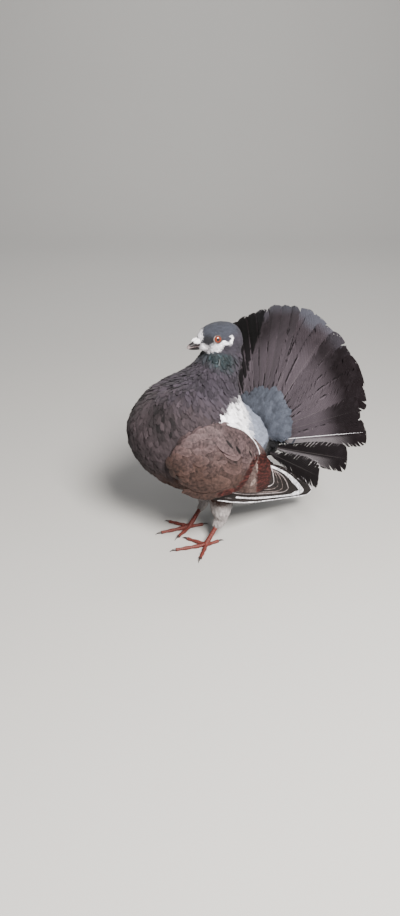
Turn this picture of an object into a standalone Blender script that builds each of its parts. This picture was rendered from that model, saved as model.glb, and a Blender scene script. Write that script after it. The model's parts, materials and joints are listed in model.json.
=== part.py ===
"""Fantail pigeon standing at rest, life size: the solid parts of a still display model.

The bird looks along -Y, its left side is +X and its feet stand on Z = 0.
Sizes and tables are in millimetres, and MM turns them into metres where they are used.
"""

import math
from collections import namedtuple

import bmesh
import bpy
from mathutils import Matrix, Vector

MM = 0.001
GAP = 0.3

# Trunk sections from rump to throat: back point y, z; belly point y, z; half width
TRUNK = (
    (76, 130, 84, 84, 25),
    (70, 137, 68, 66, 36),
    (63, 144, 45, 56, 46),
    (56, 150, 17, 54, 52),
    (50, 156, -12, 61, 55),
    (47, 162, -39, 77, 56),
    (46, 167, -61, 99, 54),
    (46, 172, -74, 126, 50),
    (47, 177, -72, 152, 43),
    (49, 182, -52, 174, 36),
    (51, 188, -24, 184, 30),
    (53, 195, -4, 192, 25),
    (54, 203, 6, 200, 21),
    (53, 211, 12, 208, 17.5),
    (50, 219, 19, 215, 13),
)
NECK_STARTS = 9.5
TRUNK_SEGMENTS = 24
TRUNK_STEPS = 2

# Head sections from nape to bill: y, top z, bottom z, half width
HEAD = (
    (53.5, 221.5, 214, 3),
    (52, 227, 208, 9),
    (49, 232, 203, 14),
    (43, 235.3, 201, 16.5),
    (35, 237.2, 202, 17.5),
    (27, 237.4, 205, 17),
    (20, 236.8, 207.5, 15.5),
    (13, 234.8, 209.5, 12.8),
    (7.5, 230.3, 211, 8.8),
    (4.5, 225.3, 213, 5.6),
)
HEAD_SEGMENTS = 20
EYE_SEGMENTS = 12
EYE_CENTRE = (12.0, 18.6, 224.5)
EYE_RADIUS = 4.6
EYE_LOOKS = (0.92, -0.36, 0.12)
LID_RADIUS = 4.1
LID_THICKNESS = 0.95
LID_SIDES = 5
LID_STEPS = 12
LID_OUT = 2.6

# Bill sections from base to tip: y, centre z, half width, half height
BILL_UPPER = (
    (4.2, 219.6, 3.9, 3.7),
    (0.5, 219.1, 3.4, 3.1),
    (-3, 218.6, 2.8, 2.6),
    (-5.7, 218.0, 2.2, 2.2),
    (-7.5, 217.1, 1.5, 1.8),
    (-8.4, 216.2, 0.6, 1.0),
)
BILL_LOWER = (
    (4.2, 215.4, 3.5, 2.3),
    (0.5, 215.5, 3.1, 2.0),
    (-3, 215.7, 2.5, 1.7),
    (-5.2, 215.9, 1.8, 1.3),
    (-6.8, 216.0, 0.8, 0.8),
)
MOUTH_Z = 216.1
MOUTH_CORNER_Y = 9.5
MOUTH_GAP = 0.5
BILL_SEGMENTS = 12
CERE_CENTRE = (2.1, 3.2, 222.0)
CERE_HALF = (2.7, 5.6, 2.9)
CERE_SEGMENTS = 10
NOSTRIL_CENTRE = (4.0, -0.6, 220.9)
NOSTRIL_HALF = (1.4, 2.0, 0.45)
NOSTRIL_SEGMENTS = 6

# Shape of a feather along its length: share of its width at the root, where it is widest, where it
# starts to round off, share of its width at the tip, and how late it rounds off
VaneShape = namedtuple("VaneShape", "root widest rounds_from tip power")

# Outer face of the folded wing: distance from the middle plane, and how it falls away
WING_OUT = 63
WING_MID_Y = 8
WING_MID_Z = 102
WING_SLOPE = 0.43
WING_FRONT_CURVE = 0.005
WING_HEIGHT_CURVE = 0.0038
WING_REAR_SLOPE = 0.24
WING_REAR_ROUND = 30

# Outline of the wing's flesh, wrist to hand: top y, z; bottom y, z; depth
WING_CORE = (
    (-55, 126, -55, 119, 5),
    (-49, 139, -50, 102, 10),
    (-36, 149, -38, 91, 13),
    (-18, 156, -18, 81, 14),
    (4, 153, 4, 70, 14),
    (24, 137, 24, 63, 13),
    (42, 117, 42, 60, 9),
    (56, 92, 60, 57, 5),
    (66, 78, 69, 56, 3),
)
WING_CORE_SINKS = (1, 3)
WING_CORE_EDGE = 0.2
WING_CORE_GRID = (12, 6)

# Flight feathers of the hand, outermost first: how far each tip stops short of the wing's tip,
# then widths below and above the shaft, and height over the wing's face at root and tip
PRIMARY_TIPS = (0, 4, 24, 39, 52, 65, 77, 87)
PRIMARY_LENGTH = 124
PRIMARY_SHORTENS = 9
PRIMARY_SHAPE = VaneShape(0.4, 0.4, 0.5, 0.25, 1.4)
PRIMARY_WIDTHS = (4, 25)
PRIMARY_STACK = 0.85
PRIMARY_LIFTS = (-5.6, -6)
PRIMARY_TILT = 2.5
PRIMARY_HEADINGS = (-16, -3)
PRIMARY_STEPS = 5
WING_TIP = (141.5, 29)
WING_EDGE_SLOPE = 0.27

# Tiers of wing feathers, lowest to highest: the ellipse their tips lie on, as centre, radii and
# angles, then their lengths, headings, half width, height over the wing's face at root and tip,
# how far their lower edges stand out, and steps along each
WingTier = namedtuple("WingTier", "count centre radii angles lengths headings half_width lifts tilt steps")
WING_VANE_SHAPE = VaneShape(0.4, 0.4, 0.75, 0.3, 2)
WING_TIERS = (
    WingTier(9, (16, 85), (46, 46), (-25, 34), (52, 46), (-15, -42), 8, (-4, 1.2), 2.2, 4),
    WingTier(9, (-8, 108), (38, 32), (-75, 34), (26, 28), (-25, -42), 7, (-2.2, 2.8), 1.8, 3),
)

# Fan: its root, lean back, and how the feathers at its edges sweep forward, shorten and narrow
FAN_HUB = (0, 85, 100)
FAN_LEAN = math.radians(20)
FAN_HALF_SPREAD = math.radians(87)
FAN_CUP = math.radians(20)
FAN_CUP_STARTS = math.radians(70)
FAN_EDGE_SPREAD = math.radians(14.5)
FAN_SHORTEST = 0.86
FAN_NARROWEST = 0.75
FAN_MIDDLE_LIFT = 1.2
FAN_ROOT_HALF = (36, 10, 30)
FAN_ROOT_OFFSET = (0, 2, 4)
FAN_ROOT_SEGMENTS = 16

# Tiers of the fan: feathers, share of the spread, radii of root and tip, half width at the tip
# and as a share of it at the root, distance in front of the fan at root, middle and tip, and tilt
FanTier = namedtuple("FanTier", "count share radii half_width narrow offsets tilt steps")
FAN_TIERS = (
    FanTier(24, 1.0, (12, 145), 14, 0.16, (0, 0, 0), 2.4, 5),
    FanTier(10, 0.82, (16, 58), 10, 0.45, (3, 8, 4.5), 1.8, 3),
    FanTier(9, 0.85, (16, 66), 12, 0.45, (-3, -8, -4.5), -1.8, 3),
)

FAN_VANE_WIDEST = 0.8
FAN_VANE_ROUNDS_FROM = 0.85
FAN_VANE_TIP = 0.5

# Thickness of a feather at its root, and the share of it left at the tip
VANE_THICKNESS = 0.9
VANE_TIP_SHARE = 0.6
VANE_CROWDING = 1.5
SHARP_ANGLE = math.radians(40)

# Legs: hip, hock and the joint of the toes, for the bird's left and right side
LEGS = {
    "left": ((24, 18, 66), (24.5, 17, 27), (26, -2, 4)),
    "right": ((-23, 20, 66), (-17, 23, 27), (-15, 3, 4)),
}
THIGH_RADII = (17, 14, 11, 7, 4)
THIGH_PLACES = (0, 0.4, 0.75, 1)
THIGH_SEGMENTS = 14
TUFT_REACH = 0.36
SHANK_RADII = (2.8, 2.3, 2.8)

# Toes of each foot: name, heading in degrees from straight ahead towards the left, length, joints
TOES = {
    "left": (("inner", -64, 24, 2), ("middle", -17, 34, 3), ("outer", 42, 26, 3), ("hind", 178, 15, 1)),
    "right": (("inner", 25, 24, 2), ("middle", -12, 34, 3), ("outer", -58, 26, 3), ("hind", 167, 15, 1)),
}
TOE_RADIUS = 2.3
TOE_TAPER = 0.6
TOE_PAD = 0.13
TOE_HEIGHT = 1.9
CLAW_RADIUS = 1.25
CLAW_LENGTH = 7
CLAW_ARCH = 0.6
CLAW_TAPER = 0.75
CLAW_TIP_HEIGHT = 0.1
CLAW_SEGMENTS = 6
CLAW_STEPS = 4
TOE_STEPS = 7
TOE_SEGMENTS = 6
KNUCKLE_HALF = (3.4, 3.4, 3.2)
SHANK_SEGMENTS = 8

# Colour and roughness of each material, and the nodes that wear it
COLOURS = {
    "plumage": ((0.11, 0.10, 0.12), 0.8, ("head", "neck", "torso")),
    "wing_feathers": ((0.20, 0.12, 0.11), 0.75, ("wing_left", "wing_right")),
    "tail_feathers": ((0.13, 0.12, 0.14), 0.75, ("tail",)),
    "thigh_feathers": ((0.45, 0.42, 0.42), 0.85, ("thigh_left", "thigh_right")),
    "bill": ((0.05, 0.04, 0.045), 0.45, ("bill_upper", "bill_lower")),
    "cere": ((0.8, 0.76, 0.76), 0.7, ("cere",)),
    "eye": ((0.55, 0.12, 0.04), 0.1, ("eye_left", "eye_right")),
    "leg_skin": ((0.66, 0.32, 0.27), 0.6, ("leg_left", "leg_right")),
    "claw": ((0.04, 0.03, 0.03), 0.5, ()),
}


def blend_rows(rows, at):
    """Row at a fractional place in a table, along a Catmull-Rom curve."""
    last = len(rows) - 1
    first = min(int(at), last - 1)
    t = at - first
    near = [rows[max(0, min(last, first + step))] for step in (-1, 0, 1, 2)]
    return tuple(
        b + 0.5 * t * (c - a + t * (2 * a - 5 * b + 4 * c - d + t * (3 * (b - c) + d - a)))
        for a, b, c, d in zip(*near)
    )


def spread(start, end, steps):
    """Evenly spaced numbers from start to end, both included."""
    return [start + (end - start) * step / steps for step in range(steps + 1)]


def solid(name, mesh):
    """Object from a closed bmesh in millimetres, in triangles that face out."""
    bmesh.ops.triangulate(mesh, faces=mesh.faces[:])
    bmesh.ops.recalc_face_normals(mesh, faces=mesh.faces[:])
    bmesh.ops.scale(mesh, vec=(MM, MM, MM), verts=mesh.verts[:])
    data = bpy.data.meshes.new(name)
    mesh.to_mesh(data)
    mesh.free()
    thing = bpy.data.objects.new(name, data)
    bpy.context.scene.collection.objects.link(thing)
    return thing


def ring_matrix(centre, side, up):
    """Matrix that lays the unit circle on an ellipse with the given half axes."""
    matrix = Matrix((side, up, side.cross(up).normalized())).transposed().to_4x4()
    matrix.translation = centre
    return matrix


def tube(name, rings, segments, lowest=None, highest=None):
    """Closed solid over elliptical rings, each a centre and two half axes, cut flat in z."""
    mesh = bmesh.new()
    before = ring_matrix(*rings[0])
    bmesh.ops.create_circle(mesh, cap_ends=True, segments=segments, radius=1.0, matrix=before)
    edges = mesh.edges[:]
    for ring in rings[1:]:
        grown = bmesh.ops.extrude_edge_only(mesh, edges=edges)["geom"]
        edges = [item for item in grown if isinstance(item, bmesh.types.BMEdge) and item.is_boundary]
        verts = [item for item in grown if isinstance(item, bmesh.types.BMVert)]
        after = ring_matrix(*ring)
        bmesh.ops.transform(mesh, matrix=after @ before.inverted(), verts=verts)
        before = after
    bmesh.ops.contextual_create(mesh, geom=edges)
    for vert in mesh.verts:
        if lowest is not None:
            vert.co.z = max(vert.co.z, lowest)
        if highest is not None:
            vert.co.z = min(vert.co.z, highest)
    return solid(name, mesh)


def round_tube(name, points, radii, segments, lowest=None):
    """Closed tube of round rings along a bent line of points."""
    rings = []
    for index, (point, radius) in enumerate(zip(points, radii)):
        ahead = points[min(index + 1, len(points) - 1)] - points[max(index - 1, 0)]
        side = ahead.cross(Vector((0, 0, 1))).normalized()
        up = side.cross(ahead).normalized()
        rings.append((point, side * radius, up * radius))
    return tube(name, rings, segments, lowest)


def sheet(name, place, along, across):
    """Closed plate whose two faces are place(s, t, face), s in 0..1, t in -1..1, face 0 or 1."""
    mesh = bmesh.new()
    bmesh.ops.create_grid(mesh, x_segments=across, y_segments=along, size=1.0)
    bmesh.ops.triangulate(mesh, faces=mesh.faces[:], quad_method="FIXED")
    grown = bmesh.ops.extrude_face_region(mesh, geom=mesh.faces[:], use_keep_orig=True)["geom"]
    inner = {item for item in grown if isinstance(item, bmesh.types.BMVert)}
    for vert in mesh.verts:
        vert.co = place((vert.co.y + 1) / 2, vert.co.x, 1 if vert in inner else 0)
    return solid(name, mesh)


def ball(name, centre, half_axes, segments):
    """Ellipsoid along the axes."""
    mesh = bmesh.new()
    matrix = Matrix.LocRotScale(Vector(centre), None, Vector(half_axes))
    rings = segments // 2
    bmesh.ops.create_uvsphere(mesh, u_segments=segments, v_segments=rings, radius=1.0, matrix=matrix)
    return solid(name, mesh)


def grown(source):
    """Copy of a solid with its surface moved out by the gap, to cut a neighbour with."""
    mesh = bmesh.new()
    mesh.from_mesh(source.data)
    bmesh.ops.scale(mesh, vec=(1 / MM, 1 / MM, 1 / MM), verts=mesh.verts[:])
    mesh.normal_update()
    moves = [vert.normal * vert.calc_shell_factor() * GAP for vert in mesh.verts]
    for vert, move in zip(mesh.verts, moves):
        vert.co += move
    return solid(source.name + "_grown", mesh)


def combine(whole, operation, others):
    """Apply one Boolean of a collection of closed solids to a solid, and remove them."""
    group = bpy.data.collections.new(operation)
    for thing in others:
        group.objects.link(thing)
    change = whole.modifiers.new(operation, "BOOLEAN")
    change.operand_type = "COLLECTION"
    change.collection = group
    change.operation = operation
    change.solver = "EXACT"
    graph = bpy.context.evaluated_depsgraph_get()
    result = bpy.data.meshes.new_from_object(whole.evaluated_get(graph))
    whole.modifiers.clear()
    whole.data = result
    for thing in others:
        bpy.data.objects.remove(thing)
    bpy.data.collections.remove(group)


def keep_largest(whole):
    """Drop all but the closed surface that holds the most."""
    mesh = bmesh.new()
    mesh.from_mesh(whole.data)
    bmesh.ops.triangulate(mesh, faces=mesh.faces[:])
    left = set(mesh.faces)
    islands = []
    while left:
        queue = [left.pop()]
        island = set(queue)
        while queue:
            for edge in queue.pop().edges:
                fresh = [face for face in edge.link_faces if face in left]
                left.difference_update(fresh)
                island.update(fresh)
                queue.extend(fresh)
        islands.append(island)
    islands.sort(key=held_by)
    for island in islands[:-1]:
        bmesh.ops.delete(mesh, geom=list(island), context="FACES")
    mesh.to_mesh(whole.data)
    mesh.free()


def held_by(faces):
    """Volume inside a closed set of triangles, times six."""
    corners = ([vert.co for vert in face.verts] for face in faces)
    return sum(a.dot(b.cross(c)) for a, b, c in corners)


def fuse(name, pieces, cutters=()):
    """One closed solid from overlapping pieces, less the cutters."""
    whole, *others = pieces
    whole.name = name
    if others:
        combine(whole, "UNION", others)
    if cutters:
        combine(whole, "DIFFERENCE", list(cutters))
    keep_largest(whole)
    whole.data.name = name
    return whole


def trunk_ring(at):
    """Ring of the trunk at a fractional row of its table."""
    back_y, back_z, belly_y, belly_z, half_width = blend_rows(TRUNK, at)
    back = Vector((0, back_y, back_z))
    belly = Vector((0, belly_y, belly_z))
    return (back + belly) / 2, Vector((half_width, 0, 0)), (back - belly) / 2


def make_torso():
    """Body from rump to the foot of the neck."""
    steps = round(NECK_STARTS * TRUNK_STEPS)
    return tube("torso", [trunk_ring(at) for at in spread(0, NECK_STARTS, steps)], TRUNK_SEGMENTS)


def make_neck(head):
    """Neck from the torso up to the head, which sits in a cup at its top."""
    top = len(TRUNK) - 1
    steps = round((top - NECK_STARTS) * TRUNK_STEPS)
    rings = [trunk_ring(at) for at in spread(NECK_STARTS, top, steps)]
    centre, side, up = rings[0]
    rings[0] = (centre + side.cross(up).normalized() * GAP, side, up)
    return fuse("neck", [tube("neck", rings, TRUNK_SEGMENTS)], [grown(head)])


def make_skull():
    """Head without eyes, lids or bill."""
    rings = []
    for y, top, bottom, half_width in HEAD:
        centre = Vector((0, y, (top + bottom) / 2))
        rings.append((centre, Vector((half_width, 0, 0)), Vector((0, 0, (top - bottom) / 2))))
    return tube("skull", rings, HEAD_SEGMENTS)


def mirrored(point, side):
    """Point on the bird's left (side 1) or right (side -1)."""
    return Vector((point[0] * side, point[1], point[2]))


def make_lid(side):
    """Ring of bare skin round one eye."""
    looks = mirrored(EYE_LOOKS, side).normalized()
    mesh = bmesh.new()
    section = bmesh.ops.create_circle(
        mesh,
        segments=LID_SIDES,
        radius=LID_THICKNESS,
        matrix=Matrix.Translation((LID_RADIUS, 0, 0)) @ Matrix.Rotation(math.radians(90), 4, "X"),
    )
    turned = bmesh.ops.spin(
        mesh,
        geom=section["verts"] + mesh.edges[:],
        axis=(0, 0, 1),
        angle=math.tau,
        steps=LID_STEPS,
        use_merge=True,
    )
    matrix = looks.to_track_quat("Z", "Y").to_matrix().to_4x4()
    matrix.translation = mirrored(EYE_CENTRE, side) + looks * LID_OUT
    bmesh.ops.transform(mesh, matrix=matrix, verts=mesh.verts[:])
    return solid("lid", mesh)


def make_head(eyes):
    """Skull with the lids, the eye sockets and the corners of the mouth."""
    mesh = bmesh.new()
    low_y = HEAD[-1][0] - 1
    middle = Vector((0, (low_y + MOUTH_CORNER_Y) / 2, MOUTH_Z - GAP / 2))
    size = Vector((HEAD_SEGMENTS, MOUTH_CORNER_Y - low_y, MOUTH_GAP))
    bmesh.ops.create_cube(mesh, size=1.0, matrix=Matrix.LocRotScale(middle, None, size))
    mouth = solid("mouth", mesh)
    cutters = [grown(eye) for eye in eyes] + [mouth]
    return fuse("head", [make_skull(), make_lid(1), make_lid(-1)], cutters)


def make_eyes():
    """Both eyeballs."""
    return [
        ball("eye_left", mirrored(EYE_CENTRE, 1), [EYE_RADIUS] * 3, EYE_SEGMENTS),
        ball("eye_right", mirrored(EYE_CENTRE, -1), [EYE_RADIUS] * 3, EYE_SEGMENTS),
    ]


def bill_rings(rows):
    """Rings of one half of the bill."""
    return [
        (Vector((0, y, z)), Vector((half_width, 0, 0)), Vector((0, 0, half_height)))
        for y, z, half_width, half_height in rows
    ]


def make_bill():
    """Upper and lower bill, which meet along the line of the mouth."""
    upper = tube("bill_upper", bill_rings(BILL_UPPER), BILL_SEGMENTS, lowest=MOUTH_Z)
    lower = tube("bill_lower", bill_rings(BILL_LOWER), BILL_SEGMENTS, highest=MOUTH_Z - GAP)
    return upper, lower


def make_cere(head, upper):
    """Pale swelling over the base of the bill, with its two nostrils."""
    lobes = [ball("lobe", mirrored(CERE_CENTRE, side), CERE_HALF, CERE_SEGMENTS) for side in (1, -1)]
    slits = [
        ball("slit", mirrored(NOSTRIL_CENTRE, side), NOSTRIL_HALF, NOSTRIL_SEGMENTS) for side in (1, -1)
    ]
    return fuse("cere", lobes, [grown(head), grown(upper)] + slits)


def wing_x(y, z):
    """Distance of the folded wing's outer face from the middle plane."""
    along = y - WING_MID_Y
    above = z - WING_MID_Z + WING_SLOPE * along
    if along < 0:
        loss = WING_FRONT_CURVE * along * along
    else:
        loss = WING_REAR_SLOPE * (math.hypot(along, WING_REAR_ROUND) - WING_REAR_ROUND)
    return WING_OUT - loss - WING_HEIGHT_CURVE * above * above


def vane_outline(s, shape):
    """Share of a feather's width at s along it."""
    rise = min(1.0, s / shape.widest)
    width = shape.root + (1 - shape.root) * rise * rise * (3 - 2 * rise)
    past = max(0.0, (s - shape.rounds_from) / (1 - shape.rounds_from))
    return width * (1 - (1 - shape.tip) * past ** shape.power)


def vane_thickness(s):
    """Thickness of a feather at s along it."""
    return VANE_THICKNESS * (1 - (1 - VANE_TIP_SHARE) * s)


def crowd(s):
    """Steps along a feather, closer together towards its tip."""
    return 1 - (1 - s) ** VANE_CROWDING


def wing_vane(side, tip, length, heading, widths, shape, lifts, tilt, steps):
    """One feather of the folded wing, laid along the wing's curved outer face."""
    along = Vector((math.cos(heading), math.sin(heading)))
    across = Vector((-along.y, along.x))
    root = Vector(tip) - along * length

    def place(s, t, face):
        s = crowd(s)
        edge = t * vane_outline(s, shape) * (widths[1] if t > 0 else widths[0])
        y, z = root + along * length * s + across * edge
        lift = lifts[0] + (lifts[1] - lifts[0]) * s - tilt * t
        return mirrored((wing_x(y, z) + lift - face * vane_thickness(s), y, z), side)

    return sheet("vane", place, steps, 1)


def make_primaries(side):
    """Flight feathers of the hand, stacked with the innermost on top."""
    feathers = []
    for rank, short in enumerate(PRIMARY_TIPS):
        tip = (WING_TIP[0] - short, WING_TIP[1] + WING_EDGE_SLOPE * short + rank)
        lifts = [lift + PRIMARY_STACK * rank for lift in PRIMARY_LIFTS]
        length = PRIMARY_LENGTH - PRIMARY_SHORTENS * rank
        heading = math.radians(PRIMARY_HEADINGS[0] + PRIMARY_HEADINGS[1] * rank)
        feathers.append(
            wing_vane(
                side, tip, length, heading, PRIMARY_WIDTHS, PRIMARY_SHAPE, lifts, PRIMARY_TILT, PRIMARY_STEPS
            )
        )
    return feathers


def make_wing_tier(side, tier):
    """One tier of feathers whose tips lie along an arc, each over the one below it."""
    feathers = []
    last = tier.count - 1
    rows = zip(
        spread(*tier.angles, last), spread(*tier.lengths, last), spread(*tier.headings, last)
    )
    for angle, length, heading in rows:
        turn = math.radians(angle)
        tip = (
            tier.centre[0] + tier.radii[0] * math.cos(turn),
            tier.centre[1] + tier.radii[1] * math.sin(turn),
        )
        widths = (tier.half_width, tier.half_width)
        heading = math.radians(heading)
        feathers.append(
            wing_vane(side, tip, length, heading, widths, WING_VANE_SHAPE, tier.lifts, tier.tilt, tier.steps)
        )
    return feathers


def make_wing(side, torso):
    """Folded wing: its flesh, and its tiers of feathers rooted in it."""

    def core(s, t, face):
        top_y, top_z, bottom_y, bottom_z, depth = blend_rows(WING_CORE, s * (len(WING_CORE) - 1))
        y = bottom_y + (top_y - bottom_y) * (t + 1) / 2
        z = bottom_z + (top_z - bottom_z) * (t + 1) / 2
        sink = WING_CORE_SINKS[0] + (WING_CORE_SINKS[1] - WING_CORE_SINKS[0]) * s * s
        return mirrored((wing_x(y, z) - sink - face * depth * (1 - (1 - WING_CORE_EDGE) * t * t), y, z), side)

    pieces = [sheet("core", core, *WING_CORE_GRID)] + make_primaries(side)
    for tier in WING_TIERS:
        pieces += make_wing_tier(side, tier)
    return fuse("wing_left" if side > 0 else "wing_right", pieces, [grown(torso)])


def fan_directions(spread_angle):
    """Unit vectors along, across and in front of the fan at an angle from its middle."""
    flat = Vector((
        math.sin(spread_angle),
        math.cos(spread_angle) * math.sin(FAN_LEAN),
        math.cos(spread_angle) * math.cos(FAN_LEAN),
    ))
    front = Vector((0, -math.cos(FAN_LEAN), math.sin(FAN_LEAN)))
    past = (abs(spread_angle) - FAN_CUP_STARTS) / (FAN_HALF_SPREAD - FAN_CUP_STARTS)
    cup = FAN_CUP * max(0.0, past)
    along = flat * math.cos(cup) + front * math.sin(cup)
    front = front * math.cos(cup) - flat * math.sin(cup)
    return along, front.cross(along), front


def fan_vane(tier, spread_angle, nudge):
    """One feather of the fan, with its outer edge in front of its neighbour."""
    along, across, front = fan_directions(spread_angle)
    edge = max(0.0, 1 - (FAN_HALF_SPREAD - abs(spread_angle)) / FAN_EDGE_SPREAD)
    reach = tier.radii[1] * (1 - (1 - FAN_SHORTEST) * edge)
    half_width = tier.half_width * (1 - (1 - FAN_NARROWEST) * edge)
    outer = 1 if spread_angle > 0 else -1
    shape = VaneShape(tier.narrow, FAN_VANE_WIDEST, FAN_VANE_ROUNDS_FROM, FAN_VANE_TIP, 2)

    def place(s, t, face):
        s = crowd(s)
        share = vane_outline(s, shape)
        root, middle, tip = tier.offsets
        offset = root + s * (4 * middle - 3 * root - tip) + s * s * (2 * root - 4 * middle + 2 * tip)
        offset += nudge + tier.tilt * t * outer * share - face * vane_thickness(s)
        radius = tier.radii[0] + (reach - tier.radii[0]) * s
        return Vector(FAN_HUB) + along * radius + across * half_width * share * t + front * offset

    return sheet("vane", place, tier.steps, 1)


def make_tail(torso):
    """Fan of tail feathers with its upper and under coverts, on a short root."""
    mesh = bmesh.new()
    lean = Matrix.Rotation(-FAN_LEAN, 4, "X")
    place = Matrix.Translation(Vector(FAN_HUB) + Vector(FAN_ROOT_OFFSET))
    matrix = place @ lean @ Matrix.Diagonal((*FAN_ROOT_HALF, 1))
    bmesh.ops.create_uvsphere(
        mesh, u_segments=FAN_ROOT_SEGMENTS, v_segments=FAN_ROOT_SEGMENTS // 2, radius=1.0, matrix=matrix
    )
    pieces = [solid("root", mesh)]
    for tier in FAN_TIERS:
        half = FAN_HALF_SPREAD * tier.share
        for rank, turn in enumerate(spread(-half, half, tier.count - 1)):
            nudge = FAN_MIDDLE_LIFT if rank == tier.count // 2 else 0
            pieces.append(fan_vane(tier, turn, nudge))
    return fuse("tail", pieces, [grown(torso)])


def make_thigh(side, torso):
    """Feathered thigh, whose tuft hangs over the hock."""
    hip, hock, joint = (Vector(point) for point in LEGS[side])
    points = [hip.lerp(hock, place) for place in THIGH_PLACES] + [hock.lerp(joint, TUFT_REACH)]
    return fuse("thigh_" + side, [round_tube("thigh", points, THIGH_RADII, THIGH_SEGMENTS)], [grown(torso)])


def toe_points(joint, heading, reach):
    """Points along a toe, from inside the knuckle down to the floor and out."""
    ahead = Vector((math.sin(heading), -math.cos(heading), 0))
    base = Vector((joint.x, joint.y, TOE_HEIGHT))
    return [base + ahead * reach * step for step in spread(0, 1, TOE_STEPS)]


def make_claw(name, start, ahead):
    """Curved claw, whose tip bends down to the floor."""
    points = []
    radii = []
    for step in spread(0, 1, CLAW_STEPS):
        drop = CLAW_ARCH * math.sin(math.pi * step) - (start.z - CLAW_TIP_HEIGHT) * step * step
        points.append(start + ahead * (GAP + CLAW_LENGTH * step) + Vector((0, 0, drop)))
        radii.append(CLAW_RADIUS * (1 - CLAW_TAPER * step))
    return round_tube(name, points, radii, CLAW_SEGMENTS, lowest=0)


def make_leg(side, thigh):
    """Bare shank and toes of one side, and their claws."""
    _, hock, joint = (Vector(point) for point in LEGS[side])
    pieces = [
        round_tube("shank", [hock, hock.lerp(joint, 0.5), joint], SHANK_RADII, SHANK_SEGMENTS),
        ball("knuckle", joint, KNUCKLE_HALF, SHANK_SEGMENTS),
    ]
    for name, heading, reach, joints in TOES[side]:
        points = toe_points(joint, math.radians(heading), reach)
        radii = [
            (TOE_RADIUS - TOE_TAPER * step) * (1 + TOE_PAD * math.cos(math.tau * joints * step))
            for step in spread(0, 1, TOE_STEPS)
        ]
        pieces.append(round_tube("toe", points, radii, TOE_SEGMENTS, lowest=0))
        ahead = (points[-1] - points[-2]).normalized()
        make_claw("claw_" + side + "_" + name, points[-1], ahead)
    return fuse("leg_" + side, pieces, [grown(thigh)])


def paint(things):
    """Give every object the material of its node."""
    for name, (colour, roughness, nodes) in COLOURS.items():
        material = bpy.data.materials.new(name)
        material.use_nodes = True
        surface = material.node_tree.nodes["Principled BSDF"]
        surface.inputs["Base Color"].default_value = (*colour, 1)
        surface.inputs["Roughness"].default_value = roughness
        surface.inputs["Metallic"].default_value = 0
        for thing in things:
            if thing.name in nodes or thing.name.startswith(name + "_"):
                thing.data.materials.clear()
                thing.data.materials.append(material)
                thing.data.shade_smooth()
                thing.data.set_sharp_from_angle(angle=SHARP_ANGLE)


def stand_on_origin(things):
    """Parent every object to an empty that puts the middle of the bird's box over the origin."""
    corners = [vert.co for thing in things for vert in thing.data.vertices]
    middle = [(min(c[axis] for c in corners) + max(c[axis] for c in corners)) / 2 for axis in (0, 1)]
    stand = bpy.data.objects.new("bird", None)
    stand.location = (-middle[0], -middle[1], -min(c.z for c in corners))
    bpy.context.scene.collection.objects.link(stand)
    for thing in things:
        thing.parent = stand


def main():
    for thing in list(bpy.data.objects):
        bpy.data.objects.remove(thing)
    torso = make_torso()
    head = make_head(make_eyes())
    make_neck(head)
    upper, _ = make_bill()
    make_cere(head, upper)
    for side in (1, -1):
        make_wing(side, torso)
    make_tail(torso)
    for side in LEGS:
        make_leg(side, make_thigh(side, torso))
    things = list(bpy.data.objects)
    paint(things)
    stand_on_origin(things)


main()
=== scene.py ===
"""Fantail pigeon standing at rest, life size: the looks of a still display model.

Tables and settings are in millimetres in the bird's own frame, where the bird looks along -Y and
its left side is +X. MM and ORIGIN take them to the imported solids' frame.
"""

import json
import math
from collections import namedtuple

import bmesh
import bpy
import numpy as np
from bpy.props import FloatProperty, FloatVectorProperty, IntProperty, PointerProperty
from mathutils import Matrix, Vector
from mathutils.bvhtree import BVHTree

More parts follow.
